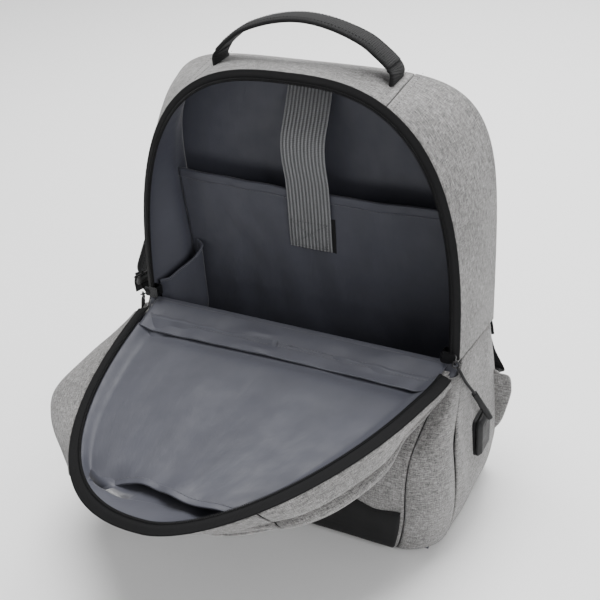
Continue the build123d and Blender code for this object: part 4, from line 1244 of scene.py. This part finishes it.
def build_pulls():
    start, end = PULL_START, PULL_END
    way = unit(end - start)
    across = unit(vec(-way[1], way[0], 0))
    face = unit(np.cross(across, way))
    for side, name in SIDES:
        m = vec(side, 1, 1)
        body = f"puller_{name}"
        a = np.linspace(0, 2 * pi, 28, endpoint=False)
        loop = start + way * 3.4 + np.cos(a)[:, None] * way * 3.6 + np.sin(a)[:, None] * face * 2.6
        sweep(f"pull_ring_wire_{name}", loop * m, ring(0.75, 8), across * m, "zip_metal", body,
              [f"pull_ring_{name}"], closed=True)
        length = float(np.linalg.norm(end - start))
        for k, shift in enumerate((-0.75, 0.75)):
            route = [start + way * 6.2, start + way * 12 + across * shift,
                     start + way * 24 + across * shift * 1.2 + face * 0.8,
                     start + way * (length - 33.5) + across * shift]
            sweep(f"pull_cord_strand_{name}_{k}", spline(route, 24) * m, ring(1.25, 8), across * m,
                  "black_cord", body, [f"pull_cord_{name}"] if k == 0 else ())
        tab = spline([start + way * (length - TAB_LENGTH), start + way * (length - TAB_LENGTH / 2), end], 30)
        t = np.linspace(0, 1, 30)
        swell = 0.62 + 0.38 * ease(t / 0.35)
        cap = np.sqrt(np.clip(1 - np.clip((t - 0.93) / 0.07, 0, 1) ** 2, 0.05, 1))
        cap = cap * np.sqrt(np.clip(np.minimum(t / 0.04, 1), 0.15, 1))
        section = np.stack([strap_section(8.5 * s * c, 5.2 * c, 4, 20) for s, c in zip(swell, cap)])
        sweep(f"pull_tab_grip_{name}", tab * m, section, across * m, "black_rubber", body,
              [f"pull_tab_{name}"])
        for k in range(4):
            spot = start + way * (length - 8 - 3.2 * k) + face * 2.5
            bar = np.linspace(spot - across * 2, spot + across * 2, 5)
            sweep(f"pull_grip_rib_{name}_{k}", bar * m, ring(0.45, 8), way * m, "black_rubber", body)


# ---- CAD nodes that keep their own shape ----
def dress_frame():
    """Gives the rigid CAD nodes their finishes."""
    for part in frame["record"]["subparts"]:
        obj = frame["nodes"].get(part["node"])
        if obj is not None:
            obj.data.materials.clear()
            obj.data.materials.append(LOOKS[part["material_slot"]])


# ---- camera, light and floor ----
CAMERA_PLACE, CAMERA_LENS, SENSOR = (0.3906, -0.6973, 0.6892), 63.6, 36.0
CAMERA_TURN, CAMERA_TILT, CAMERA_ROLL = radians(28.83), radians(31.75), radians(4.18)
LIGHTS = (  # name, place, diameter and power
    ("key", (-0.3, 0.3, 2.3), 1.4, 74),
    ("fill", (2.0, -0.9, 1.0), 1.2, 30),
    ("back", (0.2, 1.5, 1.9), 1.6, 52),
)
LIGHT_AIM, FLOOR_HALF, FLOOR_DROP = (0, 0, 0.2), 6.0, 0.0002


def build_camera():
    """Camera at the photograph's angle: turned right, tilted down and rolled a little."""
    turn, tilt, roll = CAMERA_TURN, CAMERA_TILT, CAMERA_ROLL
    right = vec(cos(turn), sin(turn), 0)
    down = vec(sin(turn) * sin(tilt), -cos(turn) * sin(tilt), -cos(tilt))
    ahead = vec(-sin(turn) * cos(tilt), cos(turn) * cos(tilt), -sin(tilt))
    image_x = cos(roll) * right + sin(roll) * down
    image_down = -sin(roll) * right + cos(roll) * down
    data = bpy.data.cameras.new("camera")
    data.sensor_width, data.lens = SENSOR, CAMERA_LENS
    camera = bpy.data.objects.new("camera", data)
    axes = Matrix([list(image_x), list(-image_down), list(-ahead)]).transposed().to_4x4()
    camera.matrix_world = Matrix.Translation(CAMERA_PLACE) @ axes
    bpy.context.scene.collection.objects.link(camera)
    bpy.context.scene.camera = camera


def build_light(name, place, size, power):
    """Round area light aimed at the bag."""
    data = bpy.data.lights.new(name, "AREA")
    data.shape, data.size, data.energy = "DISK", size, power
    light = bpy.data.objects.new(name, data)
    light.location = place
    aim = Vector(LIGHT_AIM) - Vector(place)
    light.rotation_euler = aim.to_track_quat("-Z", "Y").to_euler()
    bpy.context.scene.collection.objects.link(light)


def build_studio():
    world = bpy.data.worlds.new("studio")
    world.use_nodes = True
    world.node_tree.nodes["Background"].inputs[0].default_value = (1, 1, 1, 1)
    world.node_tree.nodes["Background"].inputs[1].default_value = 0.42
    bpy.context.scene.world = world
    for name, place, size, power in LIGHTS:
        build_light(name, place, size, power)
    mesh = bpy.data.meshes.new("floor")
    corners = [(x * FLOOR_HALF, y * FLOOR_HALF, 0) for x, y in ((-1, -1), (1, -1), (1, 1), (-1, 1))]
    mesh.from_pydata(corners, [], [(0, 1, 2, 3)])
    look = Look("floor_paper", (0.88, 0.88, 0.88), 0.9)
    mesh.materials.append(look.material)
    floor = bpy.data.objects.new("floor", mesh)
    floor.location.z = -FLOOR_DROP
    bpy.context.scene.collection.objects.link(floor)


build_camera()
dress_frame()
build_upper_body()
build_lower_body()
build_front_patch()
build_base()
build_back_panel()
build_back_pads()
build_lining()
build_back_lining()
build_sleeve()
build_laptop_strap()
build_side_pocket()
build_zips()
build_lid_outside()
build_hinge_strip()
build_lid_inside()
build_hinge_cloth()
build_handle()
build_straps()
build_port()
build_pulls()
build_studio()
